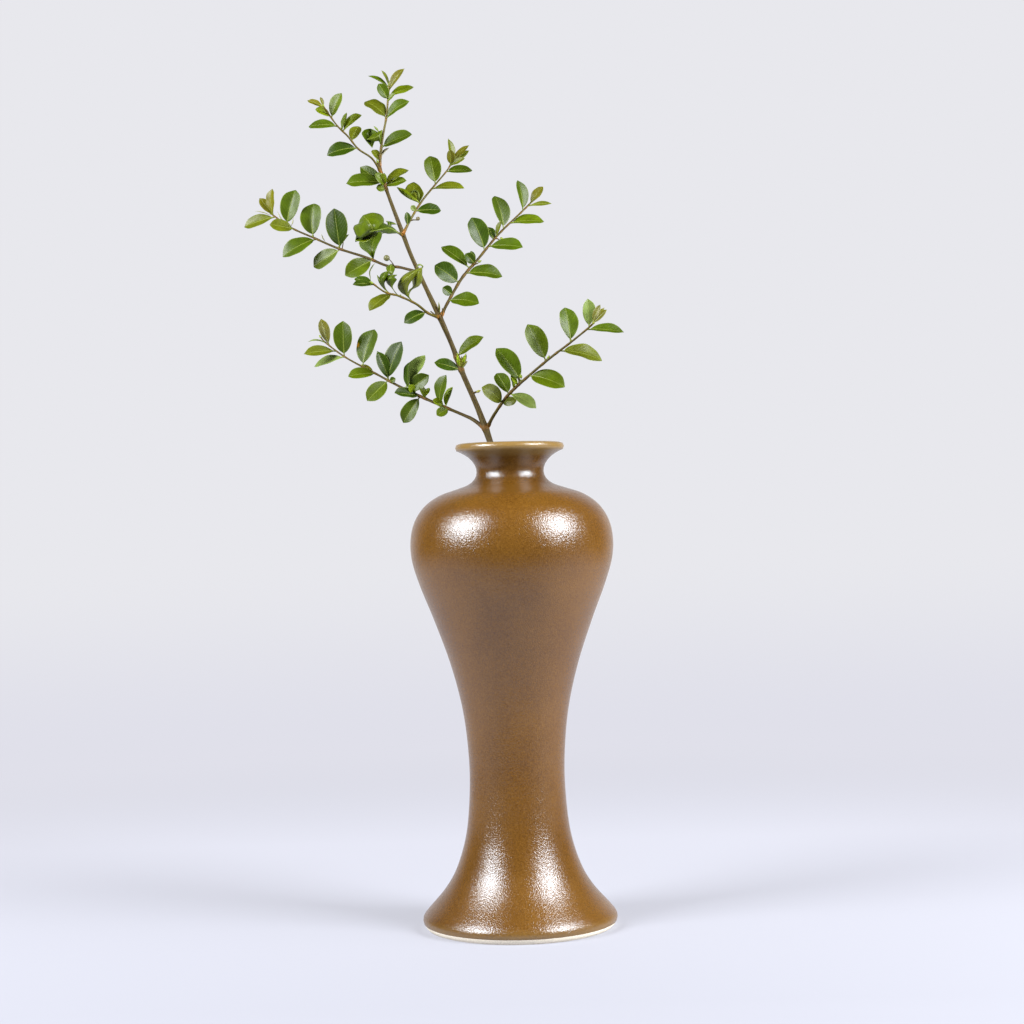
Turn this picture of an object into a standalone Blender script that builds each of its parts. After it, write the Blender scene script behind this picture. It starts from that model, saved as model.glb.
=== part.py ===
"""A cut leafy branch that stands in a turned stoneware vase of water.

Metres, with +Z up. The origin is the middle of the vase's flat base, on the surface that it stands on.
+X is to the right and -Y is towards the front, from where the branch leans to the left.
The tables are in millimetres and degrees, and a function turns each one into a solid.
"""
import math
import random

import bmesh
import bpy
from mathutils import Vector

MM = 0.001
GAP_MM = 0.3
MERGE_DISTANCE = 0.00001
TURN_STEPS = 32

# The vase, as (radius, height): its outer side from the lip down, and its inner side from the floor up
VASE_OUTER = [
    (31.0, 300.0), (33.2, 299.3), (33.9, 297.4), (33.2, 295.5), (30.6, 294.4), (25.8, 291.4), (22.0, 286.8),
    (20.9, 282.0), (22.4, 277.8), (26.6, 274.3), (34.5, 271.5), (45.0, 267.8), (54.4, 261.0), (60.6, 251.2),
    (63.0, 239.6), (62.1, 227.0), (57.4, 211.5), (49.0, 189.8), (39.6, 162.5), (33.0, 135.0), (30.0, 108.0),
    (29.8, 84.0), (32.4, 58.0), (38.6, 37.0), (46.4, 23.4), (57.0, 11.2), (60.1, 7.0), (60.0, 3.2),
    (57.5, 0.0)]
VASE_INNER = [
    (48.0, 8.0), (52.0, 10.6), (40.6, 25.2), (31.8, 44.0), (26.0, 78.0), (26.2, 110.0), (32.2, 150.0),
    (45.2, 191.0), (54.8, 216.0), (58.9, 238.0), (55.6, 252.4), (46.0, 262.4), (32.0, 267.8), (20.6, 272.6),
    (16.9, 281.0), (18.8, 289.4), (26.0, 296.0), (28.6, 298.8)]
WATER_LEVEL = 216.0
# The wall slopes, so the water's radius stays further from it than the gap itself
WATER_CLEARANCE = 0.6

# A leaf blade: its thickness, the stations along it, the share of it that is its stalk, and its cross fold
BLADE_THICKNESS = 0.65
STATIONS_LONG = (0.0, 0.13, 0.34, 0.6, 0.85, 1.0)
STATIONS_SHORT = (0.0, 0.14, 0.46, 0.8, 1.0)
STATIONS_TINY = (0.0, 0.5, 1.0)
LONG_LEAF = 15
TINY_LEAF = 7
STALK_SHARE = 0.1
STALK_HALF_WIDTH = 0.5
BROADEST_AT = 1.12
FULLNESS = 0.5
FOLD = (12, 22)
TWIST = 8

# A stick: how far apart its points are, and the bevel resolution that sets how many sides it has
STEM_SPACING = 12
STEM_RESOLUTION = 2
SPRAY_SPACING = 9
SPRAY_RESOLUTION = 1
STUB_RESOLUTION = 0

# The route of each stick from its root out: (x, y, z, radius) in mm
MAIN_STEM = [
    (30, -22, 175, 2.3), (-6, 12, 283, 2.2), (-12, 17, 301, 2.1), (-14.5, 19, 309, 2.3),
    (-20, 21, 324.5, 1.9), (-28, 22, 344, 1.8), (-31, 23, 352.5, 2.0), (-35.5, 23, 365, 1.6),
    (-42.5, 23, 382, 1.9), (-50.5, 23, 400, 1.5), (-59.5, 22, 421, 1.4), (-65, 22, 436.5, 1.5),
    (-72, 21, 456.5, 1.2), (-76, 20, 469, 1.3), (-79, 18, 479.5, 1.3)]
SPRAY_LOW_LEFT = [
    (-15, 19, 310, 1.3), (-22.5, 23, 316, 1.3), (-29, 28, 319.5, 1.1), (-49.5, 32, 329, 1.0),
    (-67.5, 36, 338, 0.9), (-85, 41, 348, 0.7), (-104, 45, 359, 0.6), (-117, 50, 369, 0.5),
    (-121, 54, 373.5, 0.5)]
SPRAY_LOW_RIGHT = [
    (-13, 19, 312, 1.2), (-9, 10, 318.5, 1.1), (0, 1, 330, 1.0), (13, -8, 341, 0.9), (27, -18, 351.5, 0.8),
    (37.5, -27, 358.5, 0.7), (48, -36, 366, 0.6), (52, -45, 369, 0.6)]
SPRAY_MID_LEFT = [
    (-43, 23, 381.5, 1.0), (-49, 12, 383, 0.9), (-56, 2, 388, 0.8), (-66, -9, 392, 0.7),
    (-74, -19, 393.5, 0.6), (-81, -30, 398, 0.5)]
SPRAY_MID_RIGHT = [
    (-41, 23, 383, 1.1), (-37, 28, 391.5, 1.0), (-28, 33, 407, 1.0), (-18, 38, 419, 0.9), (-4, 44, 436, 0.7),
    (12.5, 49, 452, 0.6), (18, 54, 458, 0.5)]
SPRAY_LONG_LEFT = [
    (-54, 22, 410, 1.0), (-66.5, 26, 414, 0.9), (-76, 30, 416, 0.9), (-89, 34, 422, 0.9),
    (-106.5, 38, 428.5, 0.8), (-122, 42, 436, 0.7), (-138, 46, 444, 0.6), (-150.5, 50, 453.5, 0.5)]
SPRAY_CURLED_LEFT = [(-65, 21, 434, 0.8), (-68.5, 7, 434.5, 0.7), (-72, -8, 435, 0.6), (-77, -22, 434, 0.5)]
SPRAY_UPPER_RIGHT = [
    (-64, 21, 435, 0.9), (-60, 24, 443, 0.8), (-55, 28, 452, 0.7), (-50.5, 32, 459, 0.7), (-45, 35, 466, 0.6),
    (-35.5, 38, 477.5, 0.5), (-33, 42, 483.5, 0.5)]
SPRAY_TOP_LEFT = [
    (-77, 19, 473, 0.8), (-82, 12, 481, 0.7), (-90, 5, 486, 0.6), (-96, -1, 493, 0.6), (-101.5, -7, 498, 0.5),
    (-107.5, -14, 506, 0.5), (-109, -20, 508, 0.5)]
SPRAY_LEADER = [
    (-78, 19, 476, 0.9), (-77, 20, 487, 0.9), (-75.5, 22, 497.5, 0.8), (-73, 23, 510, 0.7),
    (-72, 25, 521, 0.6), (-71, 27, 531, 0.5)]

# Leaves: distance along the stick, length, width, then heading, lean to the front, roll and curl in degrees.
# Heading 0 points to +X and 90 points up. Roll turns the upper face from the front to the sky. Curl is how
# far the blade bends from stalk to tip.
MAIN_STEM_LEAVES = [
    (188.5, 18, 8.5, 163, 5, 30, 25), (197.5, 21.5, 10.5, 35, 5, 40, 15), (189, 10, 3, 110, 5, 35, 20),
    (189, 10.5, 4, 70, -10, 40, 20), (189, 7, 3, 50, 20, 50, 20), (316.5, 24, 12, 180, 5, 40, 25),
    (316.5, 20, 8.5, 143, -15, 10, 15), (315, 10.5, 6.5, 130, 30, 30, 40), (316, 8, 4.5, 86, 40, 20, 40),
    (314.5, 18.5, 10.5, 35, -10, 50, 30), (314.5, 14.5, 7.5, 11, 15, 30, 25), (313, 6.5, 5, 178, 20, 10, 20)]
LOW_LEFT_LEAVES = [
    (30, 9.5, 6.5, 210, 25, 10, 20), (32, 14, 7.5, 70, -5, 55, 15), (35.5, 20.5, 11, 77, 20, 50, 45),
    (33.5, 8.5, 5, 146, 20, 25, 35), (46.5, 9, 5, 115, 20, 40, 55), (47.5, 8, 3, 60, -20, 10, 40),
    (50, 20.5, 10.5, 235, -10, 15, 25), (50.5, 17.5, 9.5, 173, 25, 45, 10), (54, 8, 5, 120, 35, 10, 20),
    (58.5, 17.5, 9.5, 35, 20, 10, 30), (61, 26.5, 13, 60, -15, 40, 25), (58, 18.5, 9, 90, 10, 60, 10),
    (72.5, 5, 4, 25, 35, 5, 20), (74.5, 26.5, 13.5, 68, 10, 35, 20), (73.5, 20.5, 8.5, 110, 10, 20, 20),
    (74, 20, 11, 225, 20, 10, 10), (85, 10.5, 4, 143, -20, 55, 10), (83.5, 18, 10, 185, 10, 40, 20),
    (93.5, 26, 14.5, 72, -10, 30, 20), (107.5, 23, 12.5, 90, 10, 10, 20), (107, 22, 9.5, 195, -15, 50, 25),
    (114, 21.5, 8.5, 185, 15, 35, 20), (120.5, 18.5, 8, 106, -5, 35, 5), (123.5, 12, 2, 175, -5, 55, 60)]
LOW_RIGHT_LEAVES = [
    (22, 18, 10.5, 143, 30, 25, 50), (22, 10, 6, 5, 25, 10, 40), (30, 19.5, 9, 330, 10, 35, 40),
    (29.5, 16.5, 9.5, 118, -20, 25, 15), (34.5, 8.5, 5, 102, 10, 60, 20), (38, 8.5, 4.5, 122, 20, 50, 20),
    (41.5, 26.5, 13.5, 125, -5, 25, 25), (48, 25, 14, 340, 20, 30, 45), (63.5, 25.5, 13.5, 115, 0, 20, 30),
    (75.5, 28, 14.5, 347, -15, 50, 30), (85.5, 23, 12, 97, -15, 20, 20), (103, 17.5, 8.5, 92, 15, 15, 20),
    (100, 23, 10, 355, -5, 50, 15), (109, 12.5, 4.5, 67, 10, 30, 20), (109, 13, 3, 53, -15, 35, 20),
    (109, 12.5, 4.5, 43, 20, 25, 20)]
MID_LEFT_LEAVES = [
    (14.5, 16, 8.5, 205, 10, 20, 40), (30.5, 15.5, 11.5, 87, 5, 25, 45), (30.5, 25, 11.5, 62, 20, 35, 55),
    (39, 17.5, 7, 122, 25, 45, 55), (39, 11.5, 7, 94, -10, 35, 50), (53, 11, 6.5, 122, 10, 40, 40),
    (52, 13.5, 8.5, 93, -20, 35, 40), (65.5, 13.5, 6.5, 180, 15, 45, 20), (66.5, 13, 6.5, 162, -15, 40, 20),
    (47.5, 18.5, 10.5, 217, 20, 40, 25)]
MID_RIGHT_LEAVES = [
    (11.5, 21, 12, 352, 20, 40, 40), (16.5, 8, 6.5, 143, 25, 10, 20), (25.5, 19, 13, 143, 10, 15, 30),
    (33.5, 24, 13, 355, -10, 45, 25), (38, 24.5, 11, 140, -15, 40, 20), (43, 9, 6.5, 135, 25, 5, 60),
    (43.5, 8, 3.5, 109, 5, 10, 40), (54, 23, 13, 110, 0, 15, 20), (63.5, 10, 6, 109, -20, 30, 20),
    (66.5, 11, 4, 71, 15, 35, 20), (57.5, 24, 12, 355, 20, 45, 25), (73.5, 24, 13, 103, -15, 35, 20),
    (79, 23, 11.5, 3, -10, 50, 20), (91.5, 21, 10.5, 98, -10, 50, 15), (96.5, 16, 4, 3, 10, 35, 20),
    (99.5, 14, 7, 51, 0, 30, 15)]
LONG_LEFT_LEAVES = [
    (17, 10, 7, 226, 35, 10, 20), (34, 21, 11.5, 210, 15, 5, 25), (34, 16.5, 9, 116, 15, 20, 30),
    (35, 23, 9.5, 76, -15, 25, 35), (57.5, 26, 14, 96, 10, 5, 20), (57, 21.5, 12, 210, -15, 30, 20),
    (77, 23, 14.5, 89, -10, 15, 25), (74.5, 25, 13, 208, 10, 35, 40), (97, 23.5, 13, 75, 0, 10, 30),
    (91.5, 16, 9.5, 170, 15, 30, 15), (107, 22, 10.5, 195, -10, 40, 20), (109, 17, 8.5, 90, 5, 45, 30),
    (108.5, 15, 6.5, 128, -5, 25, 10), (58.5, 12.5, 5, 55, -20, 55, 10)]
CURLED_LEFT_LEAVES = [
    (32, 19.5, 15.5, 178, 25, -5, 90), (12, 16.5, 9, 172, 15, 45, 50), (38, 20, 10, 207, -10, 40, 45),
    (14.5, 9.5, 4.5, 187, -20, 55, 20), (24.5, 5.5, 2.5, 104, -25, 15, 10)]
UPPER_RIGHT_LEAVES = [
    (6, 8.5, 4.5, 91, 10, 30, 20), (17.5, 4.5, 3.5, 125, 20, 10, 20), (17.5, 16.5, 9.5, 2, -10, 35, 25),
    (22, 15, 10.5, 107, 10, 10, 70), (24, 16, 7.5, 140, -10, 55, 10), (41.5, 19.5, 11, 100, -10, 15, 20),
    (37.5, 21.5, 10.5, -2, 10, 50, 25), (52.5, 17.5, 10, 4, -15, 45, 10), (58, 17.5, 6, 93, 0, 45, 35),
    (57.5, 11.5, 4.5, 22, 20, 30, 20), (59.5, 17, 4.5, 44, 0, 25, 25), (60, 14.5, 4.5, 33, 5, 15, 15),
    (59, 10.5, 5.5, 91, 35, 20, 30)]
TOP_LEFT_LEAVES = [
    (24, 20, 10.5, 193, 10, 25, 45), (30.5, 12, 7.5, 68, -25, 15, 15), (44, 19.5, 10, 176, -15, 45, 25),
    (39.5, 15.5, 9, 38, 5, 50, 20), (40.5, 12.5, 5, 75, -15, 45, 5), (51, 16.5, 9, 65, 10, 30, 25),
    (52, 10.5, 6.5, 154, 15, 40, 30), (60.5, 12.5, 4.5, 153, -15, 35, 20), (63, 6, 3, 108, 5, 45, 5)]
LEADER_LEAVES = [
    (13.5, 21.5, 12.5, 20, 10, 40, 20), (13.5, 16, 10, 141, 25, 20, 90), (4.5, 9.5, 5.5, 121, -15, 35, 15),
    (7.5, 9, 5, 47, -20, 55, 20), (33, 18, 13, 140, -10, 45, 40), (32.5, 18.5, 10, 35, 5, 45, 35),
    (45.5, 11.5, 7, 120, 15, 10, 25), (48, 17.5, 8.5, 20, -10, 40, 15), (44, 7.5, 4, 43, 20, 40, 30),
    (54, 15.5, 6.5, 150, -5, 60, 15), (50.5, 18, 6, 53, 10, 30, 40), (54, 12.5, 2.5, 113, -10, 40, 45)]

# Stubs and berries: distance along the stick, length, heading and lean, then the stub's own radius, and the
# radius of the berry at its end, or 0 where it has none
MAIN_STEM_STUBS = [(222, 11, 135, -25, 0.6, 0), (222, 9, 85, 25, 0.4, 0), (172, 5, 20, 20, 0.8, 0.9)]
LOW_RIGHT_STUBS = [(42, 4, 100, 30, 0.6, 0.9), (64, 3, 60, 30, 0.5, 0.8)]
MID_RIGHT_STUBS = [(42, 5, 20, 30, 0.5, 0.8), (67, 4, 330, 20, 0.5, 0.8)]
LONG_LEFT_STUBS = [(19, 7, 127, 20, 0.4, 2.0), (57, 9, 85, -40, 0.4, 0)]
UPPER_RIGHT_STUBS = [(11, 5, 0, 20, 0.5, 1.3)]
LEADER_STUBS = [(46, 5, 35, 20, 0.5, 0.7)]

GLAZE_BROWN = (0.22, 0.12, 0.04)
WATER_CLEAR = (0.7, 0.8, 0.8)
BARK_BROWN = (0.16, 0.10, 0.05)
LEAF_GREEN = (0.10, 0.22, 0.03)
YOUNG_GREEN = (0.22, 0.28, 0.04)


def clear_scene():
    """Remove what the scene holds."""
    for obj in list(bpy.data.objects):
        bpy.data.objects.remove(obj, do_unlink=True)


def collection(name):
    """A new collection in the scene."""
    made = bpy.data.collections.new(name)
    bpy.context.scene.collection.children.link(made)
    return made


def material(name, colour, roughness, transmission=0.0):
    """A Principled material in one colour."""
    made = bpy.data.materials.new(name)
    made.use_nodes = True
    shader = made.node_tree.nodes["Principled BSDF"]
    shader.inputs["Base Color"].default_value = (*colour, 1)
    shader.inputs["Roughness"].default_value = roughness
    shader.inputs["Metallic"].default_value = 0.0
    shader.inputs["Transmission Weight"].default_value = transmission
    return made


def place(name, mesh, group):
    """A new object for a mesh, in a collection."""
    obj = bpy.data.objects.new(name, mesh)
    group.objects.link(obj)
    return obj


def evaluated_mesh(obj):
    """A plain mesh of an object as its modifiers leave it."""
    graph = bpy.context.evaluated_depsgraph_get()
    return bpy.data.meshes.new_from_object(obj.evaluated_get(graph))


def turned(name, profile, group):
    """A solid turned round Z from a profile that runs down its outer side."""
    mesh = bpy.data.meshes.new(name)
    points = [(radius * MM, 0, height * MM) for radius, height in profile]
    mesh.from_pydata(points, [(i, i + 1) for i in range(len(points) - 1)], [])
    obj = place(name, mesh, group)
    screw = obj.modifiers.new("Turn", "SCREW")
    screw.steps = TURN_STEPS
    screw.render_steps = TURN_STEPS
    screw.use_merge_vertices = True
    screw.merge_threshold = MERGE_DISTANCE
    screw.use_smooth_shade = True
    return obj


def smooth(points, spacing):
    """Points about one spacing apart, on the smooth curve through the given points."""
    ends = [points[0], *points, points[-1]]
    path = []
    for before, start, end, after in zip(ends, ends[1:], ends[2:], ends[3:]):
        pieces = max(1, round(math.dist(start[:3], end[:3]) / spacing))
        for step in range(pieces):
            t = step / pieces
            path.append(tuple(
                0.5 * (2 * b + (c - a) * t + (2 * a - 5 * b + 4 * c - d) * t * t
                       + (3 * b - a - 3 * c + d) * t ** 3)
                for a, b, c, d in zip(before, start, end, after)))
    path.append(tuple(points[-1]))
    return path


def lengthened(path, extra):
    """The path with each of its ends carried on by an extra."""
    def beyond(end, inner):
        away = (Vector(end[:3]) - Vector(inner[:3])).normalized() * extra
        return (*(Vector(end[:3]) + away), end[3])
    return [beyond(path[0], path[1]), *path[1:-1], beyond(path[-1], path[-2])]


def along(path, distance):
    """The point on a path at a distance from its root."""
    remaining = distance
    for start, end in zip(path, path[1:]):
        step = math.dist(start[:3], end[:3])
        if remaining <= step:
            return Vector(start[:3]).lerp(Vector(end[:3]), remaining / step)
        remaining -= step
    return Vector(path[-1][:3])


def stick(name, path, group, resolution, extra=0.0):
    """A round stick along a path of (x, y, z, radius), with an extra on its radius."""
    curve = bpy.data.curves.new(name, "CURVE")
    curve.dimensions = "3D"
    curve.bevel_depth = MM
    curve.bevel_resolution = resolution
    curve.use_fill_caps = True
    spline = curve.splines.new("POLY")
    spline.points.add(len(path) - 1)
    for point, (x, y, z, radius) in zip(spline.points, path):
        point.co = (x * MM, y * MM, z * MM, 1)
        point.radius = radius + extra
    drawn = place(name + "_curve", curve, group)
    mesh = evaluated_mesh(drawn)
    bm = bmesh.new()
    bm.from_mesh(mesh)
    bmesh.ops.remove_doubles(bm, verts=bm.verts, dist=MERGE_DISTANCE)
    bmesh.ops.recalc_face_normals(bm, faces=bm.faces)
    bm.to_mesh(mesh)
    bm.free()
    obj = place(name, mesh, group)
    obj.matrix_world = drawn.matrix_world
    bpy.data.objects.remove(drawn, do_unlink=True)
    bpy.data.curves.remove(curve)
    return obj


def direction(heading, lean):
    """The unit vector with a heading in the XZ plane and a lean to the front."""
    turn = math.radians(heading)
    tilt = math.radians(lean)
    return Vector((math.cos(turn) * math.cos(tilt), -math.sin(tilt), math.sin(turn) * math.cos(tilt)))


def blade_frame(heading, lean, roll):
    """A blade's length, side and upper-face directions."""
    ahead = direction(heading, lean)
    front = Vector((0, -1, 0))
    facing = (front - front.dot(ahead) * ahead).normalized()
    skyward = ahead.cross(facing)
    if skyward.z < 0:
        skyward.negate()
    turn = math.radians(roll)
    upper = facing * math.cos(turn) + skyward * math.sin(turn)
    return ahead, ahead.cross(upper), upper


def half_width(t, width):
    """Half of a blade's width at the share t of its length."""
    blade = max(0.0, (t - STALK_SHARE) / (1 - STALK_SHARE))
    shape = max(0.0, math.sin(math.pi * blade ** BROADEST_AT)) ** FULLNESS
    return max(STALK_HALF_WIDTH if t < 0.5 else 0.0, shape * width / 2)


def stations_for(length):
    """The shares of its length at which a blade of this length has a section."""
    if length >= LONG_LEAF:
        return STATIONS_LONG
    return STATIONS_TINY if length <= TINY_LEAF else STATIONS_SHORT


def leaf(name, root, row, chance, group):
    """A folded and arched blade from its root on the stick."""
    _, length, width, heading, lean, roll, curl = row
    fold = math.tan(math.radians(chance.uniform(*FOLD)))
    twist = math.radians(chance.uniform(-TWIST, TWIST))
    ahead, side, upper = blade_frame(heading, lean, roll)
    stations = stations_for(length)
    bend = math.radians(curl)
    bm = bmesh.new()
    bmesh.ops.create_grid(bm, x_segments=2, y_segments=len(stations) - 1, size=0.5)
    for vert in bm.verts:
        across = 2 * vert.co.x
        t = stations[round((vert.co.y + 0.5) * (len(stations) - 1))]
        reach = 0.5 + math.sin(bend * (t - 0.5)) / (2 * math.sin(bend / 2))
        arch = (math.cos(bend * (t - 0.5)) - math.cos(bend / 2)) / (2 * math.sin(bend / 2))
        half = half_width(t, width)
        turn = twist * t
        out = side * math.cos(turn) + upper * math.sin(turn)
        point = root + ahead * length * reach + upper * (length * arch + abs(across) * half * fold)
        vert.co = (point + out * across * half) * MM
    bmesh.ops.remove_doubles(bm, verts=bm.verts, dist=MERGE_DISTANCE)
    bmesh.ops.triangulate(bm, faces=bm.faces)
    bmesh.ops.recalc_face_normals(bm, faces=bm.faces)
    mesh = bpy.data.meshes.new(name)
    bm.to_mesh(mesh)
    bm.free()
    obj = place(name, mesh, group)
    thick = obj.modifiers.new("Thickness", "SOLIDIFY")
    thick.thickness = BLADE_THICKNESS * MM
    thick.offset = 0
    thick.use_even_offset = True
    return obj


def berry(name, centre, radius, group):
    """A small round bud or berry."""
    mesh = bpy.data.meshes.new(name)
    bm = bmesh.new()
    bmesh.ops.create_uvsphere(bm, u_segments=8, v_segments=5, radius=radius * MM)
    bmesh.ops.translate(bm, verts=bm.verts, vec=centre * MM)
    bm.to_mesh(mesh)
    bm.free()
    return place(name, mesh, group)


def stub(name, root, row, group):
    """A bare stub with or without a berry at its end."""
    _, length, heading, lean, radius, berry_radius = row
    tip = root + direction(heading, lean) * length
    stick(name, [(*root, radius), (*tip, radius)], group, STUB_RESOLUTION)
    if berry_radius:
        berry(name + "_berry", tip, berry_radius, group)


def joined(name, wood, growth, finish, group, cutter=None):
    """The wood with its leaves and stubs joined on, less the cutter.

    The solver is MANIFOLD because EXACT leaves open edges where some thin blades cross.
    """
    join = wood.modifiers.new("Join", "BOOLEAN")
    join.operation = "UNION"
    join.operand_type = "COLLECTION"
    join.collection = growth
    join.solver = "MANIFOLD"
    if cutter:
        clear = wood.modifiers.new("Clear", "BOOLEAN")
        clear.operation = "DIFFERENCE"
        clear.object = cutter
        clear.solver = "MANIFOLD"
    mesh = evaluated_mesh(wood)
    mesh.name = name
    mesh.materials.clear()
    mesh.materials.append(finish)
    bpy.data.objects.remove(wood, do_unlink=True)
    for piece in list(growth.objects):
        bpy.data.objects.remove(piece, do_unlink=True)
    bpy.data.collections.remove(growth)
    return place(name, mesh, group)


def branch_piece(name, route, leaves, stubs, finish, group, cutter=None,
                 spacing=SPRAY_SPACING, resolution=SPRAY_RESOLUTION):
    """One stick of the branch with all that grows from it, as one solid."""
    path = smooth(route, spacing)
    chance = random.Random(name)
    growth = collection(name + "_growth")
    for number, row in enumerate(leaves):
        leaf(f"{name}_leaf_{number}", along(path, row[0]), row, chance, growth)
    for number, row in enumerate(stubs):
        stub(f"{name}_stub_{number}", along(path, row[0]), row, growth)
    wood = stick(name + "_wood", path, growth, resolution)
    growth.objects.unlink(wood)
    group.objects.link(wood)
    return joined(name, wood, growth, finish, group, cutter)


def guide(obj):
    """Keep a cutter out of the model."""
    obj.hide_render = True
    obj.display_type = "WIRE"
    return obj


def vase_and_water(parts, stem_cutter):
    """The vase, and the water in it with a plain hole for the stem."""
    shell = [(0, VASE_INNER[0][1]), *VASE_INNER, *VASE_OUTER, (0, 0)]
    vase = turned("vase", shell, parts)
    vase.data.materials.append(material("Stoneware", GLAZE_BROWN, 0.35))
    wetted = [(radius - WATER_CLEARANCE, height)
              for radius, height in reversed(VASE_INNER[1:]) if height <= WATER_LEVEL]
    floor_radius, floor_height = VASE_INNER[0]
    fill = [(0, WATER_LEVEL), *wetted, (floor_radius, floor_height + GAP_MM), (0, floor_height + GAP_MM)]
    water = turned("water", fill, parts)
    water.data.materials.append(material("Water", WATER_CLEAR, 0.05, transmission=0.8))
    hole = water.modifiers.new("Stem hole", "BOOLEAN")
    hole.operation = "DIFFERENCE"
    hole.object = stem_cutter
    hole.solver = "MANIFOLD"


def main():
    clear_scene()
    parts = collection("Stem in vase")
    cutters = collection("Cutters")
    bark = material("Bark", BARK_BROWN, 0.7)
    leafy = material("Leaf", LEAF_GREEN, 0.4)
    young = material("Young leaf", YOUNG_GREEN, 0.4)

    stem_path = lengthened(smooth(MAIN_STEM, STEM_SPACING), GAP_MM)
    cutter = guide(stick("stem_cutter", stem_path, cutters, STEM_RESOLUTION, extra=GAP_MM))
    vase_and_water(parts, cutter)
    branch_piece("main_stem", MAIN_STEM, MAIN_STEM_LEAVES, MAIN_STEM_STUBS, bark, parts,
                 spacing=STEM_SPACING, resolution=STEM_RESOLUTION)
    for name, route, leaves, stubs, finish in (
            ("spray_low_left", SPRAY_LOW_LEFT, LOW_LEFT_LEAVES, [], leafy),
            ("spray_low_right", SPRAY_LOW_RIGHT, LOW_RIGHT_LEAVES, LOW_RIGHT_STUBS, leafy),
            ("spray_mid_left", SPRAY_MID_LEFT, MID_LEFT_LEAVES, [], young),
            ("spray_mid_right", SPRAY_MID_RIGHT, MID_RIGHT_LEAVES, MID_RIGHT_STUBS, leafy),
            ("spray_long_left", SPRAY_LONG_LEFT, LONG_LEFT_LEAVES, LONG_LEFT_STUBS, leafy),
            ("spray_curled_left", SPRAY_CURLED_LEFT, CURLED_LEFT_LEAVES, [], young),
            ("spray_upper_right", SPRAY_UPPER_RIGHT, UPPER_RIGHT_LEAVES, UPPER_RIGHT_STUBS, leafy),
            ("spray_top_left", SPRAY_TOP_LEFT, TOP_LEFT_LEAVES, [], young),
            ("spray_leader", SPRAY_LEADER, LEADER_LEAVES, LEADER_STUBS, leafy)):
        branch_piece(name, route, leaves, stubs, finish, parts, cutter)


main()
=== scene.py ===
"""The looks of a cut leafy branch in a turned stoneware vase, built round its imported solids.

Metres, with +Z up. The vase stands on the origin, and the branch leans to the left, seen from the front (-Y).
The tables are in millimetres and degrees. Each stick of the branch gets a wood piece, a leaves piece and a
buds piece, which follow the same routes and rows as the part's own solids, and a curled piece where it has
leaves that no row describes.
"""
import math
import random

import bmesh
import bpy
from bpy.props import FloatProperty, FloatVectorProperty, IntProperty, PointerProperty
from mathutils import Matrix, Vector


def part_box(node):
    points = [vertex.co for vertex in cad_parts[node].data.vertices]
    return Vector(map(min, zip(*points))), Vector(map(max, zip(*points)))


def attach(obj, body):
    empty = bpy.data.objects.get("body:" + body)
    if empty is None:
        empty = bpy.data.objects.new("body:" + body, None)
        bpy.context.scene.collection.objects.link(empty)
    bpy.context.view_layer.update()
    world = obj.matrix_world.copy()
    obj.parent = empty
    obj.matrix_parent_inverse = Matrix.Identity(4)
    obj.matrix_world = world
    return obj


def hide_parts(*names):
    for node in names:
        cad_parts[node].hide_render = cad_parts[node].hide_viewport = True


bl_info = {
    "name": "Stem in Vase",
    "version": (1, 0, 0),
    "blender": (4, 5, 0),
    "location": "3D View > Sidebar > Stem in Vase",
    "description": "Builds the looks of a cut leafy branch in a stoneware vase of water",
    "category": "Object",
}

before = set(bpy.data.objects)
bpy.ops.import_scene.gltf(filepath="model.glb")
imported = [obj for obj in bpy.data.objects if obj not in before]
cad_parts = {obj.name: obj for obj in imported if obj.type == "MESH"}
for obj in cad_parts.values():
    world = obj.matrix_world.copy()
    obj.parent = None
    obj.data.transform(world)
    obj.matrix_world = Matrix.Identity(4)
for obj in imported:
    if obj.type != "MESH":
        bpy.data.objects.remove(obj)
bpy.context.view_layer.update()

MM = 0.001
ROOT = "root"

# The vase, as (radius, height): its outer side from the lip down, and its inner side from the floor up
VASE_OUTER = [
    (31.0, 300.0), (33.2, 299.3), (33.9, 297.4), (33.2, 295.5), (30.6, 294.4), (25.8, 291.4), (22.0, 286.8),
    (20.9, 282.0), (22.4, 277.8), (26.6, 274.3), (34.5, 271.5), (45.0, 267.8), (54.4, 261.0), (60.6, 251.2),
    (63.0, 239.6), (62.1, 227.0), (57.4, 211.5), (49.0, 189.8), (39.6, 162.5), (33.0, 135.0), (30.0, 108.0),
    (29.8, 84.0), (32.4, 58.0), (38.6, 37.0), (46.4, 23.4), (57.0, 11.2), (60.1, 7.0), (60.0, 3.2),
    (57.5, 0.0)]
VASE_INNER = [
    (48.0, 8.0), (52.0, 10.6), (40.6, 25.2), (31.8, 44.0), (26.0, 78.0), (26.2, 110.0), (32.2, 150.0),
    (45.2, 191.0), (54.8, 216.0), (58.9, 238.0), (55.6, 252.4), (46.0, 262.4), (32.0, 267.8), (20.6, 272.6),
    (16.9, 281.0), (18.8, 289.4), (26.0, 296.0), (28.6, 298.8)]
# The trimmed underside inside the foot that the vase rests on
FOOT_RING = [(50.0, 0.0), (48.6, 0.8), (0.0, 0.8)]
WALL_SPACING = 2.5

# The gap that the part leaves between its pieces
GAP = 0.3

# The water: the radius that it keeps clear of the wall, and its meniscus as (reach, climb), with the points
# of its curve as shares of those two, on the way out to the wall
WATER_LEVEL = 216.0
WATER_CLEARANCE = 0.6
MENISCUS = (1.8, 0.5)
MENISCUS_CURVE = ((3.0, 1.0), (1.0, 0.75), (0.3, 0.3))
# The stick that cuts the stem's hole in the water
CUTTER_SPACING = 20
CUTTER_SIDES = 16

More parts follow.
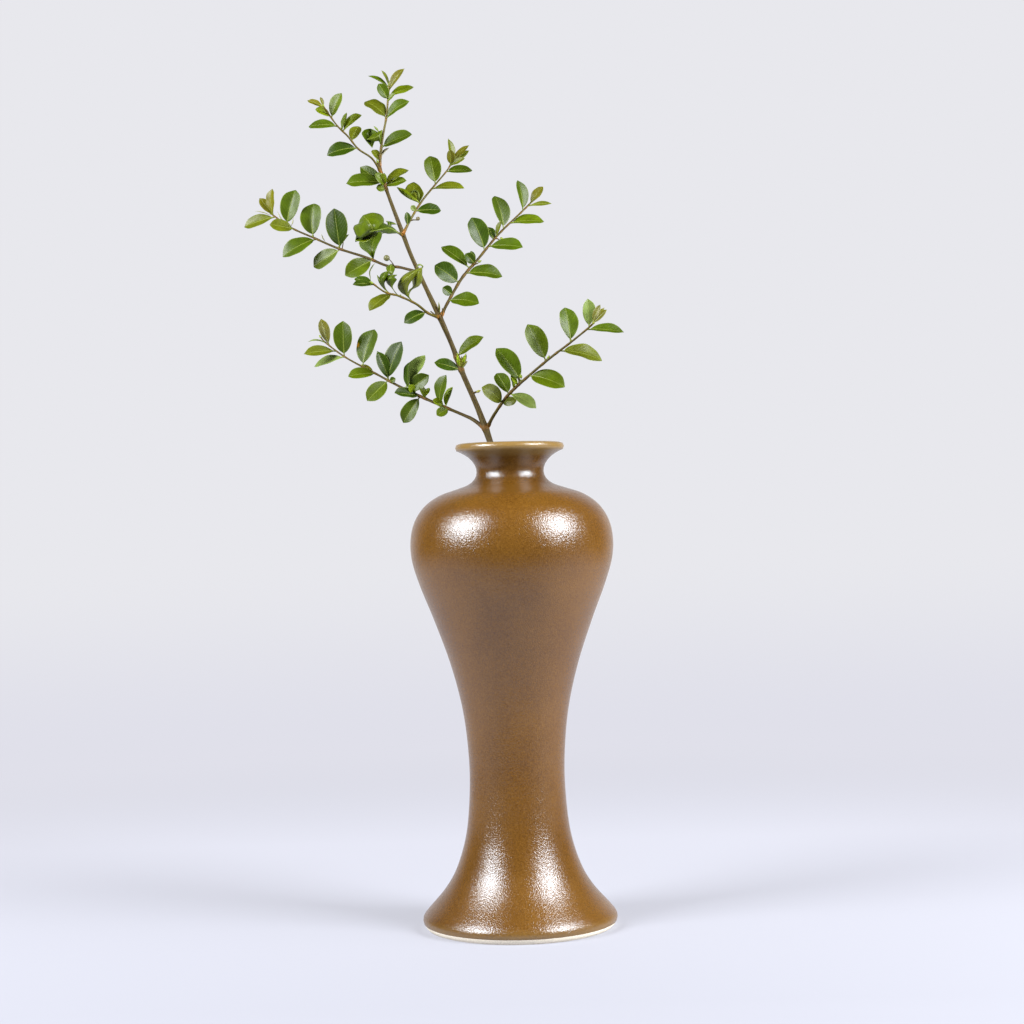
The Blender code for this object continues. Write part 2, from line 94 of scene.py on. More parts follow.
# The glaze: where it breaks over the lip and at the foot, as (whole, thinnest, most of the thin glaze), and
# where it is darker round the neck, painted shade under the lip and glaze pooled there, as the neck's height
# and how far from it the darkening starts to fade and ends
GLAZE_BREAKS = ((290.5, 294.0, 0.414), (9.5, 4.0, 0.23))
NECK_HEIGHT = 281.0
NECK_SHADE_AND_POOL_FADE = (4.0, 14.0)
# How often the wheel's rings come in a metre, round the vase and up it
WHEEL_RINGS = (4.0, 4.0, 170.0)

# A leaf blade: the share of it that is its stalk, where it is broadest, its cross fold and its twist
STALK_SHARE = 0.1
BROADEST_AT = 0.54
FOLD = (12, 22)
TWIST = 8
# How blunt or pointed an outline is, as its power, and the ratio of width to length that goes with each
BLUNT, POINTED = 0.5, 0.95
BLUNT_RATIO, POINTED_RATIO = 0.58, 0.3
# The share of a leaf's stations that its stalk has, and of its blade that narrows to an acute tip
STALK_STATIONS = 0.15
ACUTE_TIP = 0.15
# A blade's stations stand partly even and partly closer together at its ends
EVEN_STATIONS = 0.4
EASED_STATIONS = 0.3
# The powers by which a blade closes at its tip and flattens out of its stalk, and the softness of its crease
CLOSING = 0.35
FLATTENING = 7.0
CREASE_SOFTNESS = 0.01
# A blade's waves, in radians along its length and from its midrib to its margin
WAVES_ALONG = 13.0
WAVES_ACROSS = 1.1
# The first ring of a leaf's tube is closed to a point
CLOSED_END = 0.001
# Each leaf draws its own ripple and phase, and its own brightness and warmth
RIPPLE = (0.0, 0.07)
PHASE = (0, 6.28)
BRIGHTNESS = (0.82, 1.18)
WARMTH = (0.98, 1.02)
# The bow that carries a blade's middle sideways by one percent of its length
SWEEP_STEP = 0.04
# How far apart a blade's side veins leave its midrib
VEIN_SPACING = 2.4
# A curled leaf: its faces between two sections and from midrib to margin, and its thickness for its width
CURL_STEPS = 6
CURL_THICKNESS = 0.8
# Points closer than this are merged: on a turned piece, on a closed mesh and at the ends of a blade
TURNED_MERGE = 0.01
CLOSED_MERGE = 0.0002
BLADE_MERGE = 0.005

# The wood's centre lines: the spacing of their points, and the swelling of a node and of a fork
WOOD_SPACING = 1.5
BARK_SLIMNESS = 0.92
NODE_SWELL = 0.22
NODE_REACH = 1.3
FORK_SWELL = 0.4
FORK_REACH = 3.0
FORK_DISTANCE = 1.5
# A stub: how its middle bows out, its taper there and at its tip, and its collar as (distance, reach, swell)
STUB_BOW = (0.2, 0.1, 0.3)
STUB_TAPER = (0.8, 0.75)
STUB_COLLAR = (0.8, 1.0, NODE_SWELL)
# How often the bark's furrows come, in a radius round the stick and in a millimetre along it
FURROWS = (3.2, 3.2, 0.35)

# Buds, as half sizes: one in every second leaf's axil, out along its stalk and up the stick, that leans up
AXIL_BUD = 0.42
AXIL_BUD_LENGTH = (0.8, 1.1)
AXIL_BUD_OUT = 0.9
AXIL_BUD_UP = 0.7
AXIL_BUD_LEAN = 1.2
TIP_BUD = (0.7, 0.7, 1.7)
TIP_BUD_OUT = 0.8
# A bud at the end of a stub is longer than wide, and a larger one is a round berry
STUB_BUD_RATIO = 1.9
BERRY_RADIUS = 1.2
BUD_TINT = (0.9, 1.1)
BUD_NARROWING = -0.75
BUD_SEGMENTS = 12
BUD_RINGS = 8

# The route of each stick from its root out: (x, y, z, radius) in mm
MAIN_STEM = [
    (30, -22, 175, 2.3), (-6, 12, 283, 2.2), (-12, 17, 301, 2.1), (-14.5, 19, 309, 2.3),
    (-20, 21, 324.5, 1.9), (-28, 22, 344, 1.8), (-31, 23, 352.5, 2.0), (-35.5, 23, 365, 1.6),
    (-42.5, 23, 382, 1.9), (-50.5, 23, 400, 1.5), (-59.5, 22, 421, 1.4), (-65, 22, 436.5, 1.5),
    (-72, 21, 456.5, 1.2), (-76, 20, 469, 1.3), (-79, 18, 479.5, 1.3)]
SPRAY_LOW_LEFT = [
    (-15, 19, 310, 1.3), (-22.5, 23, 316, 1.3), (-29, 28, 319.5, 1.1), (-49.5, 32, 329, 1.0),
    (-67.5, 36, 338, 0.9), (-85, 41, 348, 0.7), (-104, 45, 359, 0.6), (-117, 50, 369, 0.5),
    (-121, 54, 373.5, 0.5)]
SPRAY_LOW_RIGHT = [
    (-13, 19, 312, 1.2), (-9, 10, 318.5, 1.1), (0, 1, 330, 1.0), (13, -8, 341, 0.9), (27, -18, 351.5, 0.8),
    (37.5, -27, 358.5, 0.7), (48, -36, 366, 0.6), (52, -45, 369, 0.6)]
SPRAY_MID_LEFT = [
    (-43, 23, 381.5, 1.0), (-49, 12, 383, 0.9), (-56, 2, 388, 0.8), (-66, -9, 392, 0.7),
    (-74, -19, 393.5, 0.6), (-81, -30, 398, 0.5)]
SPRAY_MID_RIGHT = [
    (-41, 23, 383, 1.1), (-37, 28, 391.5, 1.0), (-28, 33, 407, 1.0), (-18, 38, 419, 0.9), (-4, 44, 436, 0.7),
    (12.5, 49, 452, 0.6), (18, 54, 458, 0.5)]
SPRAY_LONG_LEFT = [
    (-54, 22, 410, 1.0), (-66.5, 26, 414, 0.9), (-76, 30, 416, 0.9), (-89, 34, 422, 0.9),
    (-106.5, 38, 428.5, 0.8), (-122, 42, 436, 0.7), (-138, 46, 444, 0.6), (-150.5, 50, 453.5, 0.5)]
SPRAY_CURLED_LEFT = [(-65, 21, 434, 0.8), (-68.5, 7, 434.5, 0.7), (-72, -8, 435, 0.6), (-77, -22, 434, 0.5)]
SPRAY_UPPER_RIGHT = [
    (-64, 21, 435, 0.9), (-60, 24, 443, 0.8), (-55, 28, 452, 0.7), (-50.5, 32, 459, 0.7), (-45, 35, 466, 0.6),
    (-35.5, 38, 477.5, 0.5), (-33, 42, 483.5, 0.5)]
SPRAY_TOP_LEFT = [
    (-77, 19, 473, 0.8), (-82, 12, 481, 0.7), (-90, 5, 486, 0.6), (-96, -1, 493, 0.6), (-101.5, -7, 498, 0.5),
    (-107.5, -14, 506, 0.5), (-109, -20, 508, 0.5)]
SPRAY_LEADER = [
    (-78, 19, 476, 0.9), (-77, 20, 487, 0.9), (-75.5, 22, 497.5, 0.8), (-73, 23, 510, 0.7),
    (-72, 25, 521, 0.6), (-71, 27, 531, 0.5)]

# Leaves: distance along the stick, length, width, then heading, lean to the front, roll and curl in degrees,
# then the sideways sweep of the blade's middle in percent of its length, and last the number of its tone.
# A leaf without a tone is drawn from CURLED_LEAVES
TONES = ("deep", "mature", "green", "fresh", "bright", "olive", "rusty", "underside", "withered")
MAIN_STEM_LEAVES = [
    (188.5, 18, 8.5, 163, 5, 30, 25, 1, 0), (197.5, 21.5, 10.5, 35, 5, 40, 15, 1, 5),
    (189, 10, 3, 110, 5, 35, 20, 0, 6), (189, 10.5, 4, 70, -10, 40, 20, 0, 6),
    (189, 7, 3, 50, 20, 50, 20, 0, 0), (316.5, 24, 12, 180, 5, 40, 25, -1, 1),
    (316.5, 20, 8.5, 143, -15, 10, 15, 2.5, 1), (315, 10.5, 6.5, 130, 30, 30, 40, 0, 5),
    (316, 8, 4.5, 86, 40, 20, 40, 0, 3), (314.5, 18.5, 10.5, 35, -10, 50, 30, 0, 2),
    (314.5, 14.5, 7.5, 11, 15, 30, 25, 1, 5), (313, 6.5, 5, 178, 20, 10, 20, 0, 5)]
LOW_LEFT_LEAVES = [
    (30, 9.5, 6.5, 210, 25, 10, 20, -1, 5), (32, 14, 7.5, 70, -5, 55, 15, 1, 4),
    (35.5, 20.5, 11, 77, 20, 50, 45, 0, 1), (33.5, 8.5, 5, 146, 20, 25, 35, 0, 3),
    (46.5, 9, 5, 115, 20, 40, 55, 0, 3), (47.5, 8, 3, 60, -20, 10, 40, 0, 4),
    (50, 20.5, 10.5, 235, -10, 15, 25, 0, 1), (50.5, 17.5, 9.5, 173, 25, 45, 10, 2.5, 0),
    (54, 8, 5, 120, 35, 10, 20, 0, 4), (58.5, 17.5, 9.5, 35, 20, 10, 30, 0, 1),
    (61, 26.5, 13, 60, -15, 40, 25, 0, 7), (58, 18.5, 9, 90, 10, 60, 10, 0, 0),
    (72.5, 5, 4, 25, 35, 5, 20, 0, 1), (74.5, 26.5, 13.5, 68, 10, 35, 20, 0, 0),
    (73.5, 20.5, 8.5, 110, 10, 20, 20, -1, 0), (74, 20, 11, 225, 20, 10, 10, 0, 5),
    (85, 10.5, 4, 143, -20, 55, 10, 0, 6), (83.5, 18, 10, 185, 10, 40, 20, 0, 5),
    (93.5, 26, 14.5, 72, -10, 30, 20, 1, 1), (107.5, 23, 12.5, 90, 10, 10, 20, 0, 1),
    (107, 22, 9.5, 195, -15, 50, 25, 0, 7), (114, 21.5, 8.5, 185, 15, 35, 20, 0, 2),
    (120.5, 18.5, 8, 106, -5, 35, 5, 4.5, 6), (123.5, 12, 2, 175, -5, 55, 60, 0, 7)]
LOW_RIGHT_LEAVES = [
    (22, 18, 10.5, 143, 30, 25, 50, -1, 2), (22, 10, 6, 5, 25, 10, 40, -1, 2),
    (30, 19.5, 9, 330, 10, 35, 40, 0, 7), (29.5, 16.5, 9.5, 118, -20, 25, 15, 0, 1),
    (34.5, 8.5, 5, 102, 10, 60, 20, 0, 4), (38, 8.5, 4.5, 122, 20, 50, 20, 0, 4),
    (41.5, 26.5, 13.5, 125, -5, 25, 25, 0, 1), (48, 25, 14, 340, 20, 30, 45, 0, 5),
    (63.5, 25.5, 13.5, 115, 0, 20, 30, 0, 5), (75.5, 28, 14.5, 347, -15, 50, 30, -1, 2),
    (85.5, 23, 12, 97, -15, 20, 20, -1, 1), (103, 17.5, 8.5, 92, 15, 15, 20, 0, 7),
    (100, 23, 10, 355, -5, 50, 15, 0, 1), (109, 12.5, 4.5, 67, 10, 30, 20, 0, 6),
    (109, 13, 3, 53, -15, 35, 20, 0, 6), (109, 12.5, 4.5, 43, 20, 25, 20, -1, 6)]
MID_LEFT_LEAVES = [
    (14.5, 16, 8.5, 205, 10, 20, 40, -1, 0), (30.5, 15.5, 11.5, 87, 5, 25, 45, 0, None),
    (30.5, 25, 11.5, 62, 20, 35, 55, 0, None), (39, 17.5, 7, 122, 25, 45, 55, -1, None),
    (39, 11.5, 7, 94, -10, 35, 50, 0, None), (53, 11, 6.5, 122, 10, 40, 40, 1, None),
    (52, 13.5, 8.5, 93, -20, 35, 40, 0, None), (65.5, 13.5, 6.5, 180, 15, 45, 20, 1, 0),
    (66.5, 13, 6.5, 162, -15, 40, 20, 0, 0), (47.5, 18.5, 10.5, 217, 20, 40, 25, -1, 2)]
MID_RIGHT_LEAVES = [
    (11.5, 21, 12, 352, 20, 40, 40, 0, 1), (16.5, 8, 6.5, 143, 25, 10, 20, 0, 0),
    (25.5, 19, 13, 143, 10, 15, 30, -1, 0), (33.5, 24, 13, 355, -10, 45, 25, 1, 1),
    (38, 24.5, 11, 140, -15, 40, 20, 1, 1), (43, 9, 6.5, 135, 25, 5, 60, 1, 0),
    (43.5, 8, 3.5, 109, 5, 10, 40, 1, 0), (54, 23, 13, 110, 0, 15, 20, -2, 0),
    (63.5, 10, 6, 109, -20, 30, 20, 0, 0), (66.5, 11, 4, 71, 15, 35, 20, 0, 2),
    (57.5, 24, 12, 355, 20, 45, 25, -1, 1), (73.5, 24, 13, 103, -15, 35, 20, -2, 1),
    (79, 23, 11.5, 3, -10, 50, 20, 1, 5), (91.5, 21, 10.5, 98, -10, 50, 15, -1, 1),
    (96.5, 16, 4, 3, 10, 35, 20, 0, 2), (99.5, 14, 7, 51, 0, 30, 15, -1, 6)]
LONG_LEFT_LEAVES = [
    (17, 10, 7, 226, 35, 10, 20, 0, None), (34, 21, 11.5, 210, 15, 5, 25, -1, 5),
    (34, 16.5, 9, 116, 15, 20, 30, 0, None), (35, 23, 9.5, 76, -15, 25, 35, 1, None),
    (57.5, 26, 14, 96, 10, 5, 20, 0, 0), (57, 21.5, 12, 210, -15, 30, 20, 2.5, 5),
    (77, 23, 14.5, 89, -10, 15, 25, 3, 1), (74.5, 25, 13, 208, 10, 35, 40, 1, 1),
    (97, 23.5, 13, 75, 0, 10, 30, 2, 1), (91.5, 16, 9.5, 170, 15, 30, 15, 1, 2),
    (107, 22, 10.5, 195, -10, 40, 20, 1, 2), (109, 17, 8.5, 90, 5, 45, 30, 1, 6),
    (108.5, 15, 6.5, 128, -5, 25, 10, 1, 6), (58.5, 12.5, 5, 55, -20, 55, 10, 0, 0)]
CURLED_LEFT_LEAVES = [
    (32, 19.5, 15.5, 178, 25, -5, 90, 2.5, None), (12, 16.5, 9, 172, 15, 45, 50, 0, None),
    (38, 20, 10, 207, -10, 40, 45, 0, 0), (14.5, 9.5, 4.5, 187, -20, 55, 20, 1, 0),
    (24.5, 5.5, 2.5, 104, -25, 15, 10, 0, 0)]
UPPER_RIGHT_LEAVES = [
    (6, 8.5, 4.5, 91, 10, 30, 20, 0, 0), (17.5, 4.5, 3.5, 125, 20, 10, 20, 0, 7),
    (17.5, 16.5, 9.5, 2, -10, 35, 25, -1, 0), (22, 15, 10.5, 107, 10, 10, 70, 0, None),
    (24, 16, 7.5, 140, -10, 55, 10, 0, 5), (41.5, 19.5, 11, 100, -10, 15, 20, 0, 5),
    (37.5, 21.5, 10.5, -2, 10, 50, 25, 1, 2), (52.5, 17.5, 10, 4, -15, 45, 10, 1, 1),
    (58, 17.5, 6, 93, 0, 45, 35, -2.5, 2), (57.5, 11.5, 4.5, 22, 20, 30, 20, 0, 2),
    (59.5, 17, 4.5, 44, 0, 25, 25, 1, 6), (60, 14.5, 4.5, 33, 5, 15, 15, -1, 2),
    (59, 10.5, 5.5, 91, 35, 20, 30, -1, 6)]
TOP_LEFT_LEAVES = [
    (24, 20, 10.5, 193, 10, 25, 45, -1, 0), (30.5, 12, 7.5, 68, -25, 15, 15, 1, 2),
    (44, 19.5, 10, 176, -15, 45, 25, -1, 1), (39.5, 15.5, 9, 38, 5, 50, 20, 0, 3),
    (40.5, 12.5, 5, 75, -15, 45, 5, -2, 5), (51, 16.5, 9, 65, 10, 30, 25, 0, 5),
    (52, 10.5, 6.5, 154, 15, 40, 30, -1, 3), (60.5, 12.5, 4.5, 153, -15, 35, 20, 0, 6),
    (63, 6, 3, 108, 5, 45, 5, 0, 6)]
LEADER_LEAVES = [
    (13.5, 21.5, 12.5, 20, 10, 40, 20, 0, 1), (13.5, 16, 10, 141, 25, 20, 90, 0, None),
    (4.5, 9.5, 5.5, 121, -15, 35, 15, 1, 2), (7.5, 9, 5, 47, -20, 55, 20, 0, 8),
    (33, 18, 13, 140, -10, 45, 40, -2, 2), (32.5, 18.5, 10, 35, 5, 45, 35, 1, 1),
    (45.5, 11.5, 7, 120, 15, 10, 25, -1, 1), (48, 17.5, 8.5, 20, -10, 40, 15, -2, 3),
    (44, 7.5, 4, 43, 20, 40, 30, 0, 5), (54, 15.5, 6.5, 150, -5, 60, 15, 1, 1),
    (50.5, 18, 6, 53, 10, 30, 40, 1, 6), (54, 12.5, 2.5, 113, -10, 40, 45, 0, 2)]

# Leaves too curled for a row, stipules and dry threads: each one's stick and tone, then its sections from its
# root to its tip, as (left margin, midrib, right margin), and as one point at either end
CURLED_LEAVES = [
    ("spray_curled_left", 5, [
        (-78.5, -27, 429.7), ((-88.7, -22, 426.7), (-79.8, -33, 430.4), (-74.4, -24, 431.2)),
        ((-92.6, -16, 432.5), (-80.8, -34, 432.7), (-73.6, -20, 436.7)),
        ((-92.3, -14, 435.5), (-82.1, -32, 434.8), (-74.3, -17, 439.9)),
        ((-89.7, -15, 436.6), (-83.4, -30, 436.6), (-76.7, -15, 442.2)),
        ((-88.5, -18, 438.6), (-85, -26, 438.6), (-81.3, -18, 442.6)), (-86.2, -22, 440.5)]),
    ("spray_curled_left", 1, [
        (-65.4, -5, 431.3), ((-68.3, -14, 430), (-67.8, -17, 431.8), (-68.3, -12, 434)),
        ((-71.6, -20, 429.1), (-71, -24, 432.1), (-71.9, -18, 435.2)),
        ((-76.4, -27, 429.5), (-75.5, -31, 430.2), (-75.8, -24, 435.2)), (-81.7, -33, 428.9)]),
    ("spray_curled_left", 3, [
        (-76.9, -28, 430.1), ((-81.2, -24, 425.6), (-82.5, -17, 429.7), (-83.2, -15, 433.6)),
        ((-86.6, -22, 424), (-88.1, -13, 427.9), (-87.8, -12, 431.7)), (-91.8, -18, 426)]),
    ("spray_long_left", 1, [
        (-84, 31, 420.1), ((-87, 26, 423.4), (-85, 29, 424.7), (-82.5, 27, 424.3)),
        ((-91.3, 24, 426.7), (-84.6, 30, 428.6), (-80.6, 27, 428.8)),
        ((-92.5, 25, 430.5), (-83.5, 33, 433.1), (-78.5, 29, 433.4)),
        ((-88.4, 30, 432.7), (-82, 36, 436.7), (-78.3, 32, 437.4)), (-80.7, 36, 438.6)]),
    ("spray_long_left", 5, [
        (-72.3, 28.6, 416.9), ((-70.1, 24.6, 413.8), (-72.6, 21.6, 413.8), (-75.6, 24.6, 414.3)),
        ((-70.5, 20.6, 410.7), (-72.3, 18.6, 410.4), (-74.4, 20.6, 410.3)), (-71.9, 19.6, 408)]),
    ("spray_mid_left", 2, [
        (-57, 0.9, 388.4), ((-61.8, -1, 392.8), (-61.3, -1.4, 392.7), (-60.9, -1, 392.6)),
        ((-65.1, -4, 394.8), (-62.3, -9, 396.3), (-60.7, -4, 395.9)),
        ((-66.9, -8, 398.4), (-62.5, -15, 399.6), (-59.8, -8, 398.8)),
        ((-64.2, -10, 403.6), (-59.8, -17, 402.7), (-57.1, -10, 402.2)),
        ((-58.6, -10, 407.3), (-56.2, -15, 405.9), (-55, -9, 404.8)), (-51.3, -8, 409.6)]),
    ("spray_mid_left", 2, [
        (-57, 0.9, 388.4), ((-60.9, -1, 392.8), (-60.5, -1.4, 392.6), (-60.1, -1, 392.5)),
        ((-60.5, 0, 396.4), (-59.4, -3, 395.9), (-58.5, -1, 396.5)),
        ((-57.9, -2, 398.5), (-55.8, -8, 398.7), (-54.2, -2, 398.5)),
        ((-58.3, -2, 403.3), (-54.7, -10, 402.2), (-51.7, -2, 402.1)),
        ((-57.5, -6, 406.3), (-53.9, -11, 405.8), (-51.6, -4, 405.9)), (-51.3, -8, 409.5)]),
    ("spray_mid_left", 1, [
        (-64, -6.8, 391.2), ((-67.9, -3, 393.8), (-67.5, -3.4, 393.6), (-67.1, -3, 393.5)),
        ((-70.2, -11, 396.7), (-69.9, -12, 396.8), (-69.7, -11, 397.1)),
        ((-73.1, -12, 399.6), (-70.7, -17, 399.6), (-68.5, -12, 399.7)),
        ((-73.8, -13, 402.4), (-70.6, -20, 401.7), (-67, -12, 401.9)),
        ((-71.8, -14, 404.6), (-69.5, -18, 403.4), (-68.2, -13, 403.3)), (-66.6, -13, 404.7)]),
    ("spray_mid_left", 1, [
        (-70.4, -14.5, 392.8), ((-74.3, -8, 396.1), (-73.9, -8.4, 395.9), (-73.5, -8, 395.8)),
        ((-76.5, -12, 398.8), (-75.2, -16, 399.2), (-74.6, -14, 399.1)),
        ((-77.7, -13, 402.7), (-75, -20, 402.1), (-73.1, -13, 402)),
        ((-76.2, -13, 405.9), (-73.8, -18, 405.1), (-72, -13, 404.7)), (-71.6, -14, 407.2)]),
    ("spray_mid_left", 1, [
        (-71.2, -15.5, 393), ((-75.1, -9, 396.5), (-74.8, -9.4, 396.3), (-74.5, -9, 396.2)),
        ((-78, -13, 400), (-76.9, -15.5, 400.4), (-76.1, -13, 401)), (-79.2, -13, 405.1)]),
    ("spray_mid_left", 3, [
        (-51.3, -8, 408.7), ((-50.6, -9, 410.2), (-51.1, -9, 410.1), (-51.5, -9, 409.9)),
        ((-52.6, -10, 411.5), (-52.6, -10, 411), (-52.6, -10, 410.5)),
        ((-54.5, -10, 410.8), (-54.2, -10, 410.5), (-53.9, -10, 410.1)), (-54.8, -10, 408.7)]),
    ("spray_long_left", 8, [
        (-83.1, 33, 418.2), ((-85.4, 32, 415.8), (-85, 32, 415.6), (-84.7, 32, 415.4)),
        ((-87, 31, 412.2), (-86.6, 31, 412.2), (-86.2, 31, 412.2)),
        ((-86.6, 30, 408.9), (-86.3, 30, 408.9), (-86, 30, 408.9)), (-86, 30, 406.1)]),
    ("main_stem", 0, [
        (-67.9, 21.7, 440.8), ((-71.9, 17.7, 440.4), (-71.4, 16.7, 441), (-71, 17.7, 442)),
        (-74.8, 14.7, 442.1)]),
    ("spray_leader", 1, [
        (-82.3, 19.2, 489.2), ((-85, 18.2, 492), (-83, 22.2, 492.8), (-80.8, 20.2, 493)),
        ((-87.5, 17.2, 495.4), (-84.2, 24.2, 496.4), (-79.1, 18.2, 494.5)),
        ((-88.7, 18.2, 498.3), (-84.9, 25.2, 499.1), (-78.2, 18.6, 497.4)),
        ((-86.9, 21.2, 501.2), (-83.9, 25.2, 501.7), (-79.9, 22.2, 500.4)), (-83.5, 24.2, 502.3)]),
    ("spray_leader", 5, [
        (-75.9, 22.2, 501), ((-76.9, 19.2, 491.4), (-77.2, 18.2, 497.3), (-78.2, 19.2, 499.4)),
        ((-78.3, 19.2, 493.3), (-79, 17.2, 495.8), (-80.4, 19.2, 498.4)),
        ((-80.9, 18.2, 493), (-81.8, 17.2, 494.9), (-82.9, 19.2, 496.9)), (-85.5, 17.2, 494.2)]),
    ("spray_leader", 1, [
        (-77.6, 19.2, 498.7), ((-78.8, 19.2, 501.4), (-79.3, 18.2, 501), (-80, 19.2, 501)),
        (-81.1, 19.2, 503)]),
    ("spray_upper_right", 2, [
        (-54, 29.6, 455.3), ((-58.1, 29.6, 458), (-55.3, 31.6, 459.1), (-51.9, 29.6, 458.3)),
        ((-62.8, 31.6, 462.9), (-56.9, 34.6, 464.1), (-50.9, 31.6, 461.4)),
        ((-62.2, 34.6, 466.5), (-57.3, 37.6, 467.6), (-52.4, 34.6, 465.1)),
        ((-60.6, 37.6, 468.8), (-57.5, 39.6, 469.7), (-54.4, 37.6, 468.2)), (-57.5, 40.6, 470.4)]),
    ("spray_upper_right", 3, [
        (-54, 28.6, 455.3), ((-55.7, 28.1, 455.8), (-55.3, 27.6, 456.4), (-54.8, 28.1, 457.1)),
        ((-60.3, 28.6, 457.9), (-59.2, 28.1, 459), (-58.3, 28.6, 460)),
        ((-65.3, 30.6, 461.8), (-64.1, 29.6, 462.9), (-62.9, 30.6, 464.4)), (-68.2, 31.6, 466.1)]),
    ("spray_upper_right", 3, [
        (-54.4, 30.6, 457.3), ((-53.5, 29.6, 460.5), (-54.1, 29.1, 460.4), (-54.8, 29.6, 460.4)),
        ((-55.3, 31.6, 463.7), (-55.6, 31.1, 463), (-55.9, 31.6, 462.4)),
        ((-58.4, 32.6, 463.7), (-58, 32.1, 463), (-57.6, 32.6, 462.5)), (-59.6, 32.1, 460.6)]),
    ("main_stem", 4, [
        (-30.5, 21.6, 348.9), ((-32.1, 20.1, 353.1), (-31.1, 20.7, 353.3), (-30.1, 20.1, 353.4)),
        (-31.8, 19.6, 358.6)]),
    ("main_stem", 6, [
        (-29.9, 21.2, 348.9), ((-30.5, 19.7, 352.5), (-29.5, 20.3, 352.4), (-28.4, 19.7, 352.2)),
        (-29, 19.2, 356.6)]),
    ("main_stem", 4, [
        (-29.6, 21.6, 348.9), ((-28.8, 20.1, 353.5), (-27.9, 20.7, 353.2), (-27, 20.1, 352.9)),
        (-25.9, 19.6, 358.5)]),
    ("main_stem", 6, [
        (-29.2, 21.4, 348.6), ((-28.4, 19.9, 351.3), (-27.6, 20.5, 350.8), (-26.8, 19.9, 350.2)),
        (-25.6, 19.4, 353.4)]),
    ("main_stem", 6, [
        (-42.3, 21.8, 384.1), ((-43, 20.3, 387.2), (-42.4, 20.9, 387.3), (-41.8, 20.3, 387.2)),
        (-42.6, 19.8, 391.2)]),
    ("spray_long_left", 8, [
        (-150.9, 50, 452.6), ((-156, 49, 454.4), (-155.9, 48.7, 454.6), (-155.8, 49, 454.9)),
        (-161.3, 48, 455.5)]),
    ("spray_long_left", 8, [
        (-141, 47, 446.4), ((-144.5, 46, 450.2), (-144.2, 45.7, 450.3), (-144, 46, 450.5)),
        (-146.4, 45, 455)]),
    ("spray_long_left", 8, [
        (-137.7, 46, 444.6), ((-136.7, 45, 447.3), (-136.4, 44.7, 447.2), (-136.1, 45, 447.1)),
        (-135.9, 44, 450.1)]),
    ("spray_long_left", 8, [
        (-115.1, 40.2, 433.3), ((-117, 39.2, 435.6), (-116.7, 38.9, 435.7), (-116.4, 39.2, 435.8)),
        (-117.5, 38.2, 438.5)])]

# Stubs and berries: distance along the stick, length, heading and lean, then the stub's own radius, and the
# radius of the berry or bud at its end, or 0 where it has none
MAIN_STEM_STUBS = [(222, 11, 135, -25, 0.6, 0), (222, 9, 85, 25, 0.4, 0), (172, 5, 20, 20, 0.8, 0.9)]
LOW_RIGHT_STUBS = [(42, 4, 100, 30, 0.6, 0.9), (64, 3, 60, 30, 0.5, 0.8)]
MID_RIGHT_STUBS = [(42, 5, 20, 30, 0.5, 0.8), (67, 4, 330, 20, 0.5, 0.8)]
LONG_LEFT_STUBS = [(19, 7, 127, 20, 0.4, 2.0), (57, 9, 85, -40, 0.4, 0)]
UPPER_RIGHT_STUBS = [(11, 5, 0, 20, 0.5, 1.3)]
LEADER_STUBS = [(46, 5, 35, 20, 0.5, 0.7)]

# Each stick: its route, leaves, stubs, how woody it is at its root and at its tip, and its leaves' slot
STICKS = {
    "main_stem": (MAIN_STEM, MAIN_STEM_LEAVES, MAIN_STEM_STUBS, (1.0, 0.75), "leaf"),
    "spray_low_left": (SPRAY_LOW_LEFT, LOW_LEFT_LEAVES, [], (0.9, 0.35), "leaf"),
    "spray_low_right": (SPRAY_LOW_RIGHT, LOW_RIGHT_LEAVES, LOW_RIGHT_STUBS, (0.8, 0.35), "leaf"),
    "spray_mid_left": (SPRAY_MID_LEFT, MID_LEFT_LEAVES, [], (0.4, 0.1), "young_leaf"),
    "spray_mid_right": (SPRAY_MID_RIGHT, MID_RIGHT_LEAVES, MID_RIGHT_STUBS, (0.8, 0.4), "leaf"),
    "spray_long_left": (SPRAY_LONG_LEFT, LONG_LEFT_LEAVES, LONG_LEFT_STUBS, (1.0, 0.4), "leaf"),
    "spray_curled_left": (SPRAY_CURLED_LEFT, CURLED_LEFT_LEAVES, [], (0.3, 0.0), "young_leaf"),
    "spray_upper_right": (SPRAY_UPPER_RIGHT, UPPER_RIGHT_LEAVES, UPPER_RIGHT_STUBS, (0.3, 0.1), "leaf"),
    "spray_top_left": (SPRAY_TOP_LEFT, TOP_LEFT_LEAVES, [], (0.3, 0.0), "young_leaf"),
    "spray_leader": (SPRAY_LEADER, LEADER_LEAVES, LEADER_STUBS, (0.25, 0.0), "leaf"),
}
# An orange spot of rust on a leaf of the low left spray: (x, z) and radius in mm
RUST_SPOT = (-97.2, 367.2), 2.4

# The stage in metres: the floor, and the black flag at its front as (near edge, far edge, half width, height)
FLOOR_RADIUS = 1.2
FLOOR_SIDES = 96
FLAG = (-0.4, -1.3, 1.3, 0.002)
# The right softbox, whose twin stands on the left, and the fill on the right, as (place, point faced, size)
SOFTBOX = ((0.95, -0.56, 0.86), (0, 0, 0.25), (0.55, 0.7))
FILL = ((1.2, -0.25, 0.35), (0, 0, 0.2), (0.9, 0.6))
# The camera as in the photograph, with its roll in degrees and its lens and sensor in mm
CAMERA_PLACE = (0.0006, -1.2393, 0.257)
CAMERA_ROLL = 1.343
LENS = 70
SENSOR = 36
# The studio seen from the vase, as parts of a unit vector: where the bright wall behind begins, where it ends
# above, and where the floor's far end runs into it
WALL_BEHIND = {"From Min": 0.54, "From Max": 0.94}
WALL_TOP = {"From Min": 0.8, "From Max": 0.4}
HORIZON = {"From Min": -0.11, "From Max": -0.02}
DARK_STUDIO = (0.025, 0.025, 0.028, 1.0)
